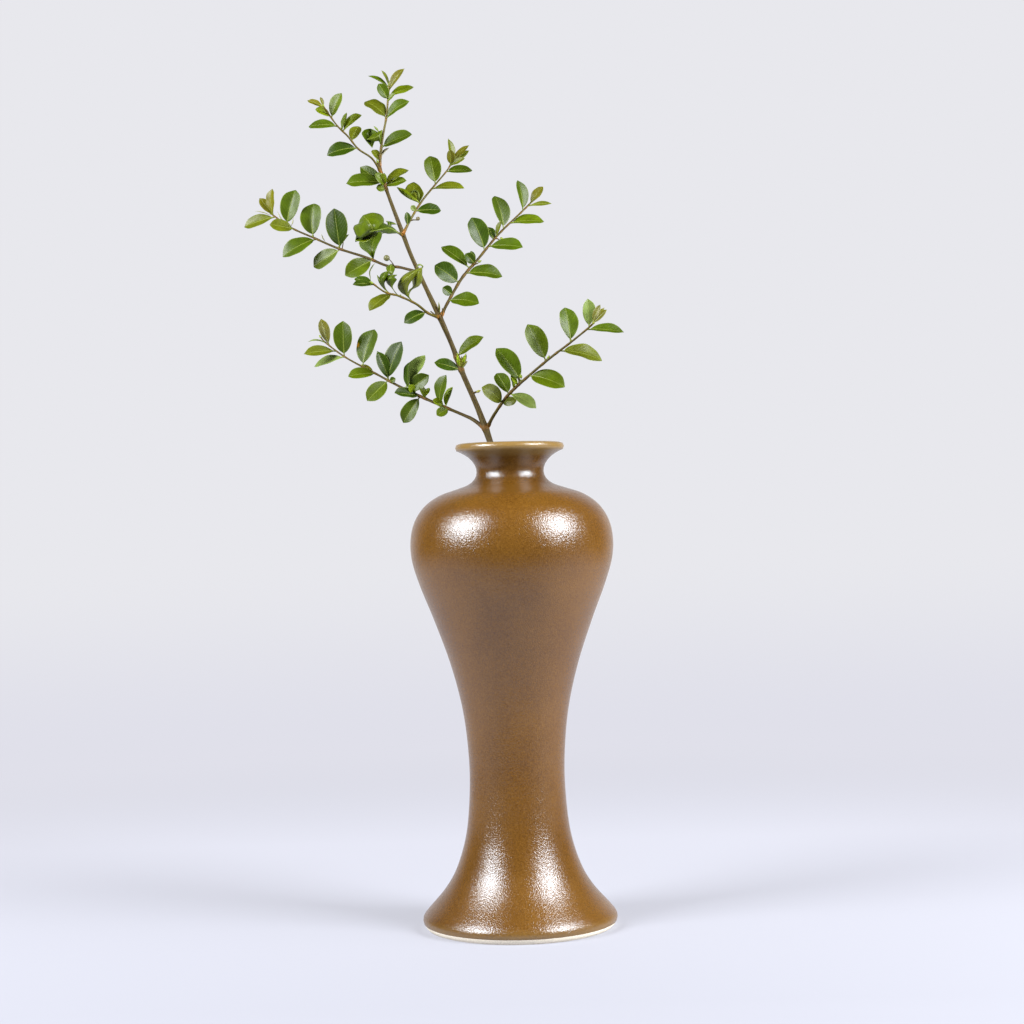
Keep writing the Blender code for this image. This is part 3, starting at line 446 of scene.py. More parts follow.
# The floor's glow, painted light that stands in for light from all round, by its depth in metres, and the
# radius where the floor turns into the backdrop
FLOOR_PAINTED_GLOW = {"From Min": -0.2, "From Max": 0.32, "To Min": 0.41, "To Max": 0.645}
FLOOR_FADE = {"From Min": 0.3, "From Max": 0.95}
# Nearly all of a noise lies between these, so what reads it spreads them out
NOISE_SPAN = {"From Min": 0.3, "From Max": 0.7}


def linear(code):
    """A linear colour with alpha for an sRGB hex value."""
    def channel(at):
        share = int(code[at:at + 2], 16) / 255
        return share / 12.92 if share <= 0.04045 else ((share + 0.055) / 1.055) ** 2.4
    return channel(1), channel(3), channel(5), 1.0


def colour(name, description, code):
    """A colour property with its default as a hex value."""
    return FloatVectorProperty(
        name=name, description=description, subtype="COLOR", size=4, min=0, max=1, default=linear(code))


def measure(name, description, default, least=0.0, unit="LENGTH"):
    """A property for a size or another measure, with its unit."""
    return FloatProperty(name=name, description=description, default=default, min=least, unit=unit)


def count(name, description, default, least, most):
    """A property for a number of faces."""
    return IntProperty(name=name, description=description, default=default, min=least, max=most)


class VaseSettings(bpy.types.PropertyGroup):
    """Sizes and colours of the vase and its water."""
    height: measure("Height", "Height of the vase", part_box("vase")[1].z, least=50 * MM)
    turns: count("Turns", "Faces round the vase", 144, 32, 256)
    foot_line: measure("Foot line", "Height of the bare clay under the glaze", 2.4 * MM)
    glaze_dark: colour("Glaze", "Iron-brown ground of the glaze", "#482B07")
    glaze_ochre: colour("Glaze crystals", "Ochre crystals that float in the glaze", "#6A4815")
    glaze_thin: colour("Thin glaze", "Glaze where it breaks over an edge", "#9A8350")
    clay: colour("Bare clay", "Unglazed stoneware at the foot", "#EEE5D2")
    water: colour("Water", "Water in the vase", "#EEF4F0")


class WoodSettings(bpy.types.PropertyGroup):
    """Sizes and colours of the wood, its buds and its berries."""
    sides: count("Sides", "Faces round a stick", 14, 6, 32)
    relief: measure("Relief", "Height of the bark's unevenness", 0.12 * MM)
    bark: colour("Bark", "Grey-brown bark of the old wood", "#4A3A12")
    bark_dark: colour("Bark furrows", "Darker streaks along the bark", "#2E230C")
    green: colour("Green twig", "Green skin of this year's twigs", "#544D0A")
    ring: colour("Growth rings", "Orange-brown scales and scars at the nodes", "#875618")
    bud: colour("Buds", "Yellow-green buds", "#7F8A24")
    berry: colour("Berries", "Unripe berries", "#5C5A32")


class LeafSettings(bpy.types.PropertyGroup):
    """Sizes and colours of the leaves."""
    sides: count("Sides", "Faces round a blade", 24, 8, 48)
    stations: count("Stations", "Faces along a blade", 20, 8, 48)
    thickness: measure("Thickness", "Thickness of a blade at its midrib", 0.45 * MM, least=0.05 * MM)
    stalk: measure("Stalk", "Radius of a leaf's stalk", 0.42 * MM, least=0.05 * MM)
    deep: colour("Deep", "Old leaf", "#273A00")
    mature: colour("Mature", "Grown leaf", "#3B4D02")
    green: colour("Green", "Grown leaf with a thinner blade", "#545C0B")
    fresh: colour("Fresh", "Light green leaf", "#607005")
    bright: colour("Bright", "Yellow-green leaf", "#82990B")
    olive: colour("Olive", "Young leaf near a tip", "#465601")
    rusty: colour("Rusty", "Youngest leaf at a tip", "#585605")
    underside: colour("Underside", "Paler lower face of a leaf", "#667738")
    withered: colour("Withered", "Dry leaf or stalk", "#A39C84")
    vein: colour("Midrib", "Midrib, veins and margin", "#838F3C")
    rust: colour("Rust", "Orange spot of leaf rust", "#BC8618")


class StageSettings(bpy.types.PropertyGroup):
    """Light and backdrop."""
    wall: colour("Wall", "Backdrop", "#E8E8ED")
    far_floor: colour("Far floor", "Floor as it runs into the wall", "#E0E0EA")
    floor: colour("Floor", "Floor under the vase", "#7A7C85")
    left_softbox: measure("Left softbox", "Power of the softbox on the left", 34.0, unit="POWER")
    right_softbox: measure("Right softbox", "Power of the softbox on the right", 34.0, unit="POWER")
    right_fill: measure("Right fill", "Power of the wide low light on the right", 11.0, unit="POWER")


def add(tree, kind, sockets=(), **settings):
    """A new node with its settings, and each input that is given linked or set, by name or in order."""
    node = tree.nodes.new(kind)
    for name, value in settings.items():
        setattr(node, name, value)
    shown = [socket for socket in node.inputs if socket.enabled]
    given = sockets.items() if isinstance(sockets, dict) else enumerate(sockets)
    for key, value in given:
        socket = shown[key] if isinstance(key, int) else next(s for s in shown if s.name == key)
        if isinstance(value, bpy.types.Node):
            value = next(output for output in value.outputs if output.enabled)
        if isinstance(value, bpy.types.NodeSocket):
            tree.links.new(value, socket)
        else:
            socket.default_value = value
    return node


def new_material(name):
    """A material and its node tree, still empty."""
    material = bpy.data.materials.new(name)
    material.use_nodes = True
    material.node_tree.nodes.clear()
    return material, material.node_tree


def new_tree(name, inputs):
    """A geometry tree with a geometry input and output and its named inputs, as (socket type, default)."""
    tree = bpy.data.node_groups.new(name, "GeometryNodeTree")
    tree.is_modifier = True
    tree.interface.new_socket("Geometry", in_out="INPUT", socket_type="NodeSocketGeometry")
    for label, (kind, default) in inputs.items():
        socket = tree.interface.new_socket(label, in_out="INPUT", socket_type=kind)
        if default is not None:
            socket.default_value = default
    tree.interface.new_socket("Geometry", in_out="OUTPUT", socket_type="NodeSocketGeometry")
    return tree, tree.nodes.new("NodeGroupInput").outputs


def new_object(name, mesh):
    """A new object for a mesh, in the scene."""
    obj = bpy.data.objects.new(name, mesh)
    bpy.context.scene.collection.objects.link(obj)
    return obj


def plain(piece):
    """The piece with its modifiers turned into a plain mesh."""
    graph = bpy.context.evaluated_depsgraph_get()
    mesh = bpy.data.meshes.new_from_object(piece.evaluated_get(graph))
    mesh.name = piece.name
    piece.modifiers.clear()
    piece.data = mesh
    return piece


def grown(name, points, tree, inputs):
    """A piece with the plain mesh that a geometry tree makes from the points."""
    piece = new_object(name, points)
    modifier = piece.modifiers.new(tree.name, "NODES")
    modifier.node_group = tree
    for item in tree.interface.items_tree:
        if item.in_out == "INPUT" and item.name in inputs:
            modifier[item.identifier] = inputs[item.name]
    return plain(piece)


def stored(mesh, name, kind, values):
    """Keep a value for each of a mesh's points as an attribute."""
    field = {"FLOAT": "value", "FLOAT_VECTOR": "vector", "FLOAT_COLOR": "color"}[kind]
    numbers = [number for value in values for number in (value if kind != "FLOAT" else (value,))]
    mesh.attributes.new(name, kind, "POINT").data.foreach_set(field, numbers)


def finished(piece, node):
    """Let a piece stand for a node of the part and move with it."""
    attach(piece, ROOT)
    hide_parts(node)


def smooth(points, spacing=1.0, steps=None):
    """Points about a spacing apart, or that many steps to a piece, on the smooth curve through the points."""
    ends = [points[0], *points, points[-1]]
    path = []
    for before, start, end, after in zip(ends, ends[1:], ends[2:], ends[3:]):
        pieces = steps or max(1, round(math.dist(start[:3], end[:3]) / spacing))
        for step in range(pieces):
            t = step / pieces
            path.append(tuple(
                0.5 * (2 * b + (c - a) * t + (2 * a - 5 * b + 4 * c - d) * t * t
                       + (3 * b - a - 3 * c + d) * t ** 3)
                for a, b, c, d in zip(before, start, end, after)))
    path.append(tuple(points[-1]))
    return path


def distances(path):
    """How far along the path each of its points is."""
    total = [0.0]
    for start, end in zip(path, path[1:]):
        total.append(total[-1] + math.dist(start[:3], end[:3]))
    return total


def along(path, distance):
    """The point on a path at a distance from its root, and the path's direction there."""
    remaining = distance
    for start, end in zip(path, path[1:]):
        step = math.dist(start[:3], end[:3])
        ahead = (Vector(end[:3]) - Vector(start[:3])).normalized()
        if remaining <= step:
            return Vector(start[:3]) + ahead * remaining, ahead
        remaining -= step
    return Vector(path[-1][:3]), ahead


def direction(heading, lean):
    """The unit vector with a heading in the XZ plane and a lean to the front."""
    turn = math.radians(heading)
    tilt = math.radians(lean)
    return Vector((math.cos(turn) * math.cos(tilt), -math.sin(tilt), math.sin(turn) * math.cos(tilt)))


def blade_frame(heading, lean, roll):
    """A blade's length, side and upper-face directions."""
    ahead = direction(heading, lean)
    front = Vector((0, -1, 0))
    facing = (front - front.dot(ahead) * ahead).normalized()
    skyward = ahead.cross(facing)
    if skyward.z < 0:
        skyward.negate()
    turn = math.radians(roll)
    upper = facing * math.cos(turn) + skyward * math.sin(turn)
    return ahead, ahead.cross(upper), upper


def surfaced(material, sockets):
    """The material, ended with a shader that has these sockets linked or set."""
    tree = material.node_tree
    shader = add(tree, "ShaderNodeBsdfPrincipled", sockets)
    add(tree, "ShaderNodeOutputMaterial", {"Surface": shader})
    return material


def mottled(tree, place, apart, detail, low, high):
    """Noise with blotches that far apart, and the same noise spread out from low to high."""
    noise = add(tree, "ShaderNodeTexNoise", {"Vector": place, "Scale": 1 / apart, "Detail": detail})
    level = add(tree, "ShaderNodeMapRange", {"Value": noise, **NOISE_SPAN, "To Min": low, "To Max": high})
    return noise, level


def glaze_material(settings):
    """Tea-dust glaze on stoneware: dipped, with ochre crystals in an iron-brown ground and a satin shine."""
    material, tree = new_material("Tea-dust stoneware glaze")
    place = add(tree, "ShaderNodeTexCoord").outputs["Object"]
    # Crystals of a real glaze are 0.2 mm apart, which is too fine to show, so they are drawn 0.9 mm apart
    crystals = add(tree, "ShaderNodeTexNoise", {
        "Vector": place, "Scale": 1 / (0.9 * MM), "Detail": 3.0, "Roughness": 0.65})
    speckle = add(tree, "ShaderNodeMapRange", {"Value": crystals, "From Min": 0.31, "From Max": 0.76})
    # They gather in clouds 38 mm apart
    _, cloudy = mottled(tree, place, 38 * MM, 2.0, 0.0, 0.35)
    share = add(tree, "ShaderNodeMath", (speckle, cloudy), operation="ADD", use_clamp=True)
    ground = add(tree, "ShaderNodeMix", {
        "Factor": share, "A": settings.glaze_dark, "B": settings.glaze_ochre}, data_type="RGBA")
    height = add(tree, "ShaderNodeSeparateXYZ", (place,)).outputs["Z"]
    # The glaze runs thin over the lip and at the foot's edge, where the pale body shows through it
    breaks = [
        add(tree, "ShaderNodeMapRange", {
            "Value": height, "From Min": whole * MM, "From Max": thinnest * MM, "To Max": most})
        for whole, thinnest, most in GLAZE_BREAKS]
    thin = add(tree, "ShaderNodeMath", breaks, operation="MAXIMUM")
    # Round the neck it is darker: painted shade under the lip, and glaze pooled thick in the hollow
    above_neck = add(tree, "ShaderNodeMath", (height, NECK_HEIGHT * MM), operation="SUBTRACT")
    from_neck = add(tree, "ShaderNodeMath", (above_neck,), operation="ABSOLUTE")
    fade_start, fade_end = NECK_SHADE_AND_POOL_FADE
    neck_shade_and_pool = add(tree, "ShaderNodeMapRange", {
        "Value": from_neck, "From Min": fade_start * MM, "From Max": fade_end * MM, "To Min": 0.68})
    shaded_and_pooled = add(tree, "ShaderNodeVectorMath", {0: ground, "Scale": neck_shade_and_pool}, operation="SCALE")
    finish = add(tree, "ShaderNodeMix", {
        "Factor": thin, "A": shaded_and_pooled, "B": settings.glaze_thin}, data_type="RGBA")
    gloss = add(tree, "ShaderNodeMapRange", {"Value": crystals, **NOISE_SPAN, "To Min": 0.2, "To Max": 0.27})
    # Fine orange peel breaks the highlights up, and the wheel leaves low rings 6 mm apart
    pits = add(tree, "ShaderNodeTexNoise", {"Vector": place, "Scale": 1 / (0.62 * MM), "Detail": 0.0})
    peel = add(tree, "ShaderNodeBump", {"Strength": 1.0, "Distance": 0.155 * MM, "Height": pits})
    wheel = add(tree, "ShaderNodeTexNoise", {
        "Vector": add(tree, "ShaderNodeVectorMath", (place, WHEEL_RINGS), operation="MULTIPLY"),
        "Scale": 1.0, "Detail": 1.0})
    rings = add(tree, "ShaderNodeBump", {
        "Strength": 0.35, "Distance": 0.35 * MM, "Height": wheel, "Normal": peel})
    # The bluish specular tint paints a cool light's colour into the glaze's highlights and reflections
    return surfaced(material, {
        "Base Color": finish, "Roughness": gloss, "IOR": 1.7, "Specular Tint": (0.85, 0.92, 1.0, 1.0),
        "Normal": rings})


def clay_material(settings):
    """Bare stoneware: cream clay, turned and fired without glaze, so dry and slightly sandy."""
    material, tree = new_material("Unglazed stoneware clay")
    place = add(tree, "ShaderNodeTexCoord").outputs["Object"]
    # Grog in the clay is about 0.5 mm across and 0.9 mm apart
    grog, tint = mottled(tree, place, 0.9 * MM, 4.0, 0.82, 1.05)
    shade = add(tree, "ShaderNodeVectorMath", {0: settings.clay[:3], "Scale": tint}, operation="SCALE")
    sandy = add(tree, "ShaderNodeBump", {"Strength": 0.5, "Distance": 0.1 * MM, "Height": grog})
    return surfaced(material, {"Base Color": shade, "Roughness": 0.9, "Normal": sandy})


def water_material(settings):
    """Clear tap water, with the faint unevenness of a still surface."""
    material, tree = new_material("Clear water")
    place = add(tree, "ShaderNodeTexCoord").outputs["Object"]
    # Swells of still water are 22 mm apart
    swell = add(tree, "ShaderNodeTexNoise", {"Vector": place, "Scale": 1 / (22 * MM), "Detail": 1.0})
    ripple = add(tree, "ShaderNodeBump", {"Strength": 0.1, "Distance": 0.3 * MM, "Height": swell})
    return surfaced(material, {
        "Base Color": settings.water, "Roughness": 0.02, "IOR": 1.333, "Transmission Weight": 0.85,
        "Normal": ripple})


def bark_material(settings):
    """Living bark: a thin dry skin, grey-brown and finely furrowed on old wood, green and waxy on new."""
    material, tree = new_material("Shrub bark")
    run, woody, scar = (
        add(tree, "ShaderNodeAttribute", attribute_name=name).outputs["Fac"]
        for name in ("run", "woody", "scar"))
    around = add(tree, "ShaderNodeAttribute", attribute_name="around").outputs["Vector"]
    # Furrows are about 0.5 mm wide and 3 mm long, so the pattern is squeezed round the stick
    side = add(tree, "ShaderNodeSeparateXYZ", (around,)).outputs
    unrolled = add(tree, "ShaderNodeCombineXYZ", (side["X"], side["Y"], run))
    grain = add(tree, "ShaderNodeVectorMath", (unrolled, FURROWS), operation="MULTIPLY")
    furrows = add(tree, "ShaderNodeTexNoise", {
        "Vector": grain, "Scale": 1.0, "Detail": 4.0, "Roughness": 0.6})
    streaks = add(tree, "ShaderNodeMapRange", {"Value": furrows, "From Min": 0.62, "From Max": 0.4})
    old = add(tree, "ShaderNodeMix", {
        "Factor": streaks, "A": settings.bark, "B": settings.bark_dark}, data_type="RGBA")
    # Green shows through old wood in patches about twice as wide as a furrow
    patches = add(tree, "ShaderNodeTexNoise", {
        "Vector": add(tree, "ShaderNodeVectorMath", (grain, (0.6, 0.6, 0.5)), operation="MULTIPLY"),
        "Scale": 1.0, "Detail": 2.0})
    uneven = add(tree, "ShaderNodeMapRange", {
        "Value": patches, "From Min": 0.35, "From Max": 0.65, "To Min": -0.25, "To Max": 0.25})
    age = add(tree, "ShaderNodeMath", (woody, uneven), operation="ADD", use_clamp=True)
    skin = add(tree, "ShaderNodeMix", {"Factor": age, "A": settings.green, "B": old}, data_type="RGBA")
    finish = add(tree, "ShaderNodeMix", {"Factor": scar, "A": skin, "B": settings.ring}, data_type="RGBA")
    dull = add(tree, "ShaderNodeMapRange", {"Value": age, "To Min": 0.45, "To Max": 0.72})
    relief = add(tree, "ShaderNodeBump", {"Strength": 0.6, "Distance": 0.2 * MM, "Height": furrows})
    return surfaced(material, {"Base Color": finish, "Roughness": dull, "IOR": 1.36, "Normal": relief})


def bud_material():
    """Bud scales and unripe berry skin: grown, close and slightly waxy."""
    material, tree = new_material("Bud and berry skin")
    place = add(tree, "ShaderNodeTexCoord").outputs["Object"]
    tone = add(tree, "ShaderNodeAttribute", attribute_name="tone").outputs["Color"]
    # Freckles are about 0.4 mm across and 0.7 mm apart
    freckles, tint = mottled(tree, place, 0.7 * MM, 2.0, 0.75, 1.15)
    shade = add(tree, "ShaderNodeVectorMath", {0: tone, "Scale": tint}, operation="SCALE")
    skin = add(tree, "ShaderNodeBump", {"Strength": 0.3, "Distance": 0.1 * MM, "Height": freckles})
    return surfaced(material, {"Base Color": shade, "Roughness": 0.45, "Normal": skin})


def leaf_material(settings):
    """A leaf's waxy cuticle: smooth and glossy above, paler and duller below, with a pale midrib."""
    material, tree = new_material("Waxy leaf cuticle")
    place = add(tree, "ShaderNodeTexCoord").outputs["Object"]
    tone = add(tree, "ShaderNodeAttribute", attribute_name="tone").outputs["Color"]
    share, spot = (
        add(tree, "ShaderNodeSeparateXYZ", (
            add(tree, "ShaderNodeAttribute", attribute_name=name).outputs["Vector"],)).outputs
        for name in ("share", "spot"))
    out = add(tree, "ShaderNodeMath", (spot["X"],), operation="ABSOLUTE")
    edge = add(tree, "ShaderNodeMath", (share["X"],), operation="ABSOLUTE")
    # The midrib is about 0.8 mm wide at the stalk and a fifth of that at the tip
    rib_width = add(tree, "ShaderNodeMapRange", {"Value": share["Y"], "To Min": 0.5, "To Max": 0.1})
    rib_share = add(tree, "ShaderNodeMath", (out, rib_width), operation="DIVIDE")
    midrib = add(tree, "ShaderNodeMapRange", {
        "Value": rib_share, "From Min": 1.2, "From Max": 0.5}, interpolation_type="SMOOTHSTEP")
    # Side veins leave the midrib at an even spacing and arch towards the tip
    arch = add(tree, "ShaderNodeMath", (out, 1.3), operation="POWER")
    rise = add(tree, "ShaderNodeMath", (arch, -0.62, spot["Y"]), operation="MULTIPLY_ADD")
    turn = add(tree, "ShaderNodeMath", (rise, 2 * math.pi / VEIN_SPACING), operation="MULTIPLY")
    wave = add(tree, "ShaderNodeMath", (turn,), operation="COSINE")
    veins = add(tree, "ShaderNodeMapRange", {
        "Value": wave, "From Min": 0.72, "From Max": 1.0}, interpolation_type="SMOOTHSTEP")
    margin = add(tree, "ShaderNodeMapRange", {"Value": edge, "From Min": 0.9, "From Max": 0.98})
    # The green is uneven over 5 mm or so
    _, uneven = mottled(tree, place, 5 * MM, 3.0, 0.78, 1.18)
    flesh = add(tree, "ShaderNodeVectorMath", {0: tone, "Scale": uneven}, operation="SCALE")
    below = add(tree, "ShaderNodeMapRange", {
        "Value": share["Z"], "From Min": 0.05, "From Max": -0.1, "To Max": 0.8})
    faced = add(tree, "ShaderNodeMix", {
        "Factor": below, "A": flesh, "B": settings.underside}, data_type="RGBA")
    (spot_x, spot_z), spot_radius = RUST_SPOT
    flat = add(tree, "ShaderNodeVectorMath", (place, (1.0, 0.0, 1.0)), operation="MULTIPLY")
    away = add(tree, "ShaderNodeVectorMath", (
        flat, (spot_x * MM, 0.0, spot_z * MM)), operation="DISTANCE").outputs["Value"]
    rusted = add(tree, "ShaderNodeMapRange", {
        "Value": away, "From Min": spot_radius * MM, "From Max": 0.4 * spot_radius * MM})
    drawn = add(tree, "ShaderNodeMix", {
        "Factor": rusted, "A": faced, "B": settings.rust}, data_type="RGBA")
    for mask, strength in ((veins, 0.05), (midrib, 0.45), (margin, 0.4)):
        amount = add(tree, "ShaderNodeMath", (mask, strength), operation="MULTIPLY")
        drawn = add(tree, "ShaderNodeMix", {
            "Factor": amount, "A": drawn, "B": settings.vein}, data_type="RGBA")
    dull = add(tree, "ShaderNodeMapRange", {
        "Value": share["Z"], "From Min": 0.1, "From Max": -0.1, "To Min": 0.39, "To Max": 0.6})
    grooves = add(tree, "ShaderNodeMath", (midrib, 6.0, veins), operation="MULTIPLY_ADD")
    sunk = add(tree, "ShaderNodeMath", (grooves, -1.0), operation="MULTIPLY")
    # Groups of cells about 0.5 mm across and 1.1 mm apart make the cuticle uneven
    cells = add(tree, "ShaderNodeTexNoise", {"Vector": place, "Scale": 1 / (1.1 * MM), "Detail": 2.0})
    pebbled = add(tree, "ShaderNodeBump", {"Strength": 0.25, "Distance": 0.06 * MM, "Height": cells})
    ribbed = add(tree, "ShaderNodeBump", {
        "Strength": 0.6, "Distance": 0.035 * MM, "Height": sunk, "Normal": pebbled})
    return surfaced(material, {"Base Color": drawn, "Roughness": dull, "IOR": 1.33, "Normal": ribbed})


def turned(name, profile, turns):
    """A piece turned round Z from a profile of (radius, height)."""
    mesh = bpy.data.meshes.new(name)
    mesh.from_pydata([(radius, 0, height) for radius, height in profile],
                     [(i, i + 1) for i in range(len(profile) - 1)], [])
    piece = new_object(name, mesh)
    screw = piece.modifiers.new("Turn", "SCREW")
    screw.steps = turns
    screw.render_steps = turns
    screw.use_merge_vertices = True
    screw.merge_threshold = TURNED_MERGE * MM
    return plain(piece)


def closed(mesh):
    """Merge a mesh's doubles, turn its faces outwards and shade it smooth."""
    bm = bmesh.new()
    bm.from_mesh(mesh)
    bmesh.ops.remove_doubles(bm, verts=bm.verts, dist=CLOSED_MERGE * MM)
    bmesh.ops.recalc_face_normals(bm, faces=bm.faces)
    bm.to_mesh(mesh)
    bm.free()
    mesh.shade_smooth()


class STEMVASE_OT_vase(bpy.types.Operator):
    """Turn the vase from its profile, glaze it down to its foot line and leave the foot bare"""
    bl_idname = "stemvase.vase"
    bl_label = "Vase"

    def execute(self, context):
        settings = context.scene.stemvase_vase
        size = settings.height / VASE_OUTER[0][1]
        shell = [(0.0, VASE_INNER[0][1]), *smooth(VASE_INNER[:2], WALL_SPACING)[:-1],
                 *smooth(VASE_INNER[1:] + VASE_OUTER[:1], WALL_SPACING)[:-1],
                 *smooth(VASE_OUTER, WALL_SPACING), *FOOT_RING]
        vase = turned("vase_shell", [(radius * size, height * size) for radius, height in shell],
                      settings.turns)
        mesh = vase.data
        closed(mesh)
        mesh.materials.append(glaze_material(settings))
        mesh.materials.append(clay_material(settings))
        for face in mesh.polygons:
            face.material_index = int(face.center.z < settings.foot_line)
        finished(vase, "vase")
        return {"FINISHED"}


class STEMVASE_OT_water(bpy.types.Operator):
    """Fill the vase with water that climbs its wall a little and leaves room for the stem"""
    bl_idname = "stemvase.water"
    bl_label = "Water"

    def execute(self, context):
        settings = context.scene.stemvase_vase
        wall = [(radius - WATER_CLEARANCE, height)
                for radius, height in smooth(VASE_INNER[1:], WALL_SPACING) if height <= WATER_LEVEL]
        floor_radius, floor_height = VASE_INNER[0]
        reach, climb = MENISCUS
        brim = wall[-1][0]
        surface = [(0.0, WATER_LEVEL - climb)]
        surface += [(brim - away * reach, WATER_LEVEL - drop * climb) for away, drop in MENISCUS_CURVE]
        floor = [(floor_radius, floor_height + GAP), (0.0, floor_height + GAP)]
        profile = [(radius * MM, height * MM) for radius, height in surface + wall[::-1] + floor]
        water = turned("water_fill", profile, settings.turns // 2)
        closed(water.data)
        path = [(x, y, z, radius + GAP) for x, y, z, radius in smooth(MAIN_STEM[:2], CUTTER_SPACING)]
        before = Vector(path[0][:3]) - Vector(path[1][:3])
        path[0] = (*(Vector(path[0][:3]) + before.normalized() * GAP), path[0][3])
        cutter = grown("water_cutter", wood_mesh("water_cutter", [(path, (1, 1), [])]), wood_tree(), {
            "Sides": CUTTER_SIDES, "Relief": 0.0})
        hole = water.modifiers.new("Stem hole", "BOOLEAN")
        hole.operation = "DIFFERENCE"
        hole.object = cutter
        hole.solver = "EXACT"
        plain(water)
        bpy.data.objects.remove(cutter, do_unlink=True)
        water.data.materials.clear()
        water.data.materials.append(water_material(settings))
        finished(water, "water")
        return {"FINISHED"}


def wood_mesh(name, strands):
    """A mesh of centre lines, from (path, woodiness at its ends, its (distance, reach, swell) marks)."""
    points, edges, thickness, run, woody, scar = [], [], [], [], [], []
    for path, (woody_root, woody_tip), marks in strands:
        far = distances(path)
        for number, ((x, y, z, radius), distance) in enumerate(zip(path, far)):
            swell = max([0.0, *(amount * math.exp(-((distance - at) / reach) ** 2)
                                for at, reach, amount in marks)])
            if number:
                edges.append((len(points) - 1, len(points)))
            points.append((x * MM, y * MM, z * MM))
            thickness.append(BARK_SLIMNESS * radius * (1 + swell) * MM)
            run.append(distance)
            woody.append(woody_root + (woody_tip - woody_root) * distance / far[-1])
            scar.append(min(1.0, swell / FORK_SWELL) ** 2)
    mesh = bpy.data.meshes.new(name)
    mesh.from_pydata(points, edges, [])
    for label, values in (("thickness", thickness), ("run", run), ("woody", woody), ("scar", scar)):
        stored(mesh, label, "FLOAT", values)
    return mesh


def marked(tree, shape, name):
    """A shape that keeps where each of its points is, as an attribute, before it is bent or copied."""
    return add(tree, "GeometryNodeStoreNamedAttribute", {
        "Geometry": shape, "Name": name, "Value": add(tree, "GeometryNodeInputPosition")},
        data_type="FLOAT_VECTOR")


def vectors(tree, names):
    """A vector attribute of the points for each of these names."""
    return {name: add(tree, "GeometryNodeInputNamedAttribute", {"Name": name}, data_type="FLOAT_VECTOR")
            for name in names}


def passed_out(tree, geometry, material):
    """Shade what a tree has made, make it real and give it its material."""
    shaded = add(tree, "GeometryNodeSetShadeSmooth", {"Geometry": geometry, "Shade Smooth": True})
    real = add(tree, "GeometryNodeRealizeInstances", {"Geometry": shaded})
    done = add(tree, "GeometryNodeSetMaterial", {"Geometry": real, "Material": material})
    add(tree, "NodeGroupOutput", {"Geometry": done})
    return tree


def wood_tree():
    """Round sticks with capped ends, swept along lines of points that say how thick they are."""
    tree, given = new_tree("Sticks", {
        "Sides": ("NodeSocketInt", 14), "Relief": ("NodeSocketFloat", 0.0),
        "Material": ("NodeSocketMaterial", None)})
    lines = add(tree, "GeometryNodeMeshToCurve", {"Mesh": given["Geometry"]})
    thickness = add(tree, "GeometryNodeInputNamedAttribute", {"Name": "thickness"})
    ring = add(tree, "GeometryNodeCurvePrimitiveCircle", {"Resolution": given["Sides"], "Radius": 1.0})
    swept = add(tree, "GeometryNodeCurveToMesh", {
        "Curve": lines, "Profile Curve": marked(tree, ring, "around"), "Scale": thickness, "Fill Caps": True})
    # The bark's bumps are about 2 mm apart
    bumps = add(tree, "ShaderNodeTexNoise", {"Scale": 1 / (2 * MM), "Detail": 2.0})
    centred = add(tree, "ShaderNodeMath", (bumps, 0.5), operation="SUBTRACT")
    height = add(tree, "ShaderNodeMath", (centred, given["Relief"]), operation="MULTIPLY")
    push = add(tree, "ShaderNodeVectorMath", {
        0: add(tree, "GeometryNodeInputNormal"), "Scale": height}, operation="SCALE")
    rough = add(tree, "GeometryNodeSetPosition", {"Geometry": swept, "Offset": push})
    return passed_out(tree, rough, given["Material"])


def nearest(path, point):
    """How far along a path the point nearest to another is."""
    return min(zip((math.dist(spot[:3], point[:3]) for spot in path), distances(path)))[1]


class STEMVASE_OT_wood(bpy.types.Operator):
    """Sweep the main stem, the sprays and their stubs, with a swelling at each node and fork"""
    bl_idname = "stemvase.wood"
    bl_label = "Wood"

    def execute(self, context):
        settings = context.scene.stemvase_wood
        bark = bark_material(settings)
        tree = wood_tree()
        trunk = smooth(MAIN_STEM, WOOD_SPACING)
        for name, (route, leaves, stubs, woody, _) in STICKS.items():
            path = smooth(route, WOOD_SPACING)
            marks = [(row[0], NODE_REACH, NODE_SWELL) for row in leaves]
            if name == "main_stem":
                marks += [(nearest(trunk, other[0][0]), NODE_REACH, NODE_SWELL)
                          for key, other in STICKS.items() if key != name]
            else:
                # The spray starts at the heart of the stem, so its collar grows out of the bark
                heart, _ = along(trunk, nearest(trunk, route[0]))
                path = [(*heart, path[0][3]), *path]
                marks.append((FORK_DISTANCE, FORK_REACH, FORK_SWELL))
            strands = [(path, woody, marks)]
            for distance, length, heading, lean, radius, _ in stubs:
                root, _ = along(path, distance)
                tip = root + direction(heading, lean) * length
                bend = (root + tip) / 2 + Vector(STUB_BOW)
                middle, end = (share * radius for share in STUB_TAPER)
                twig = smooth([(*root, radius), (*bend, middle), (*tip, end)])
                strands.append((twig, (woody[0], woody[0] / 2), [STUB_COLLAR]))
            piece = grown(f"wood_{name}", wood_mesh(name, strands), tree, {
                "Sides": settings.sides, "Relief": settings.relief, "Material": bark})
            closed(piece.data)
            finished(piece, name)
        return {"FINISHED"}


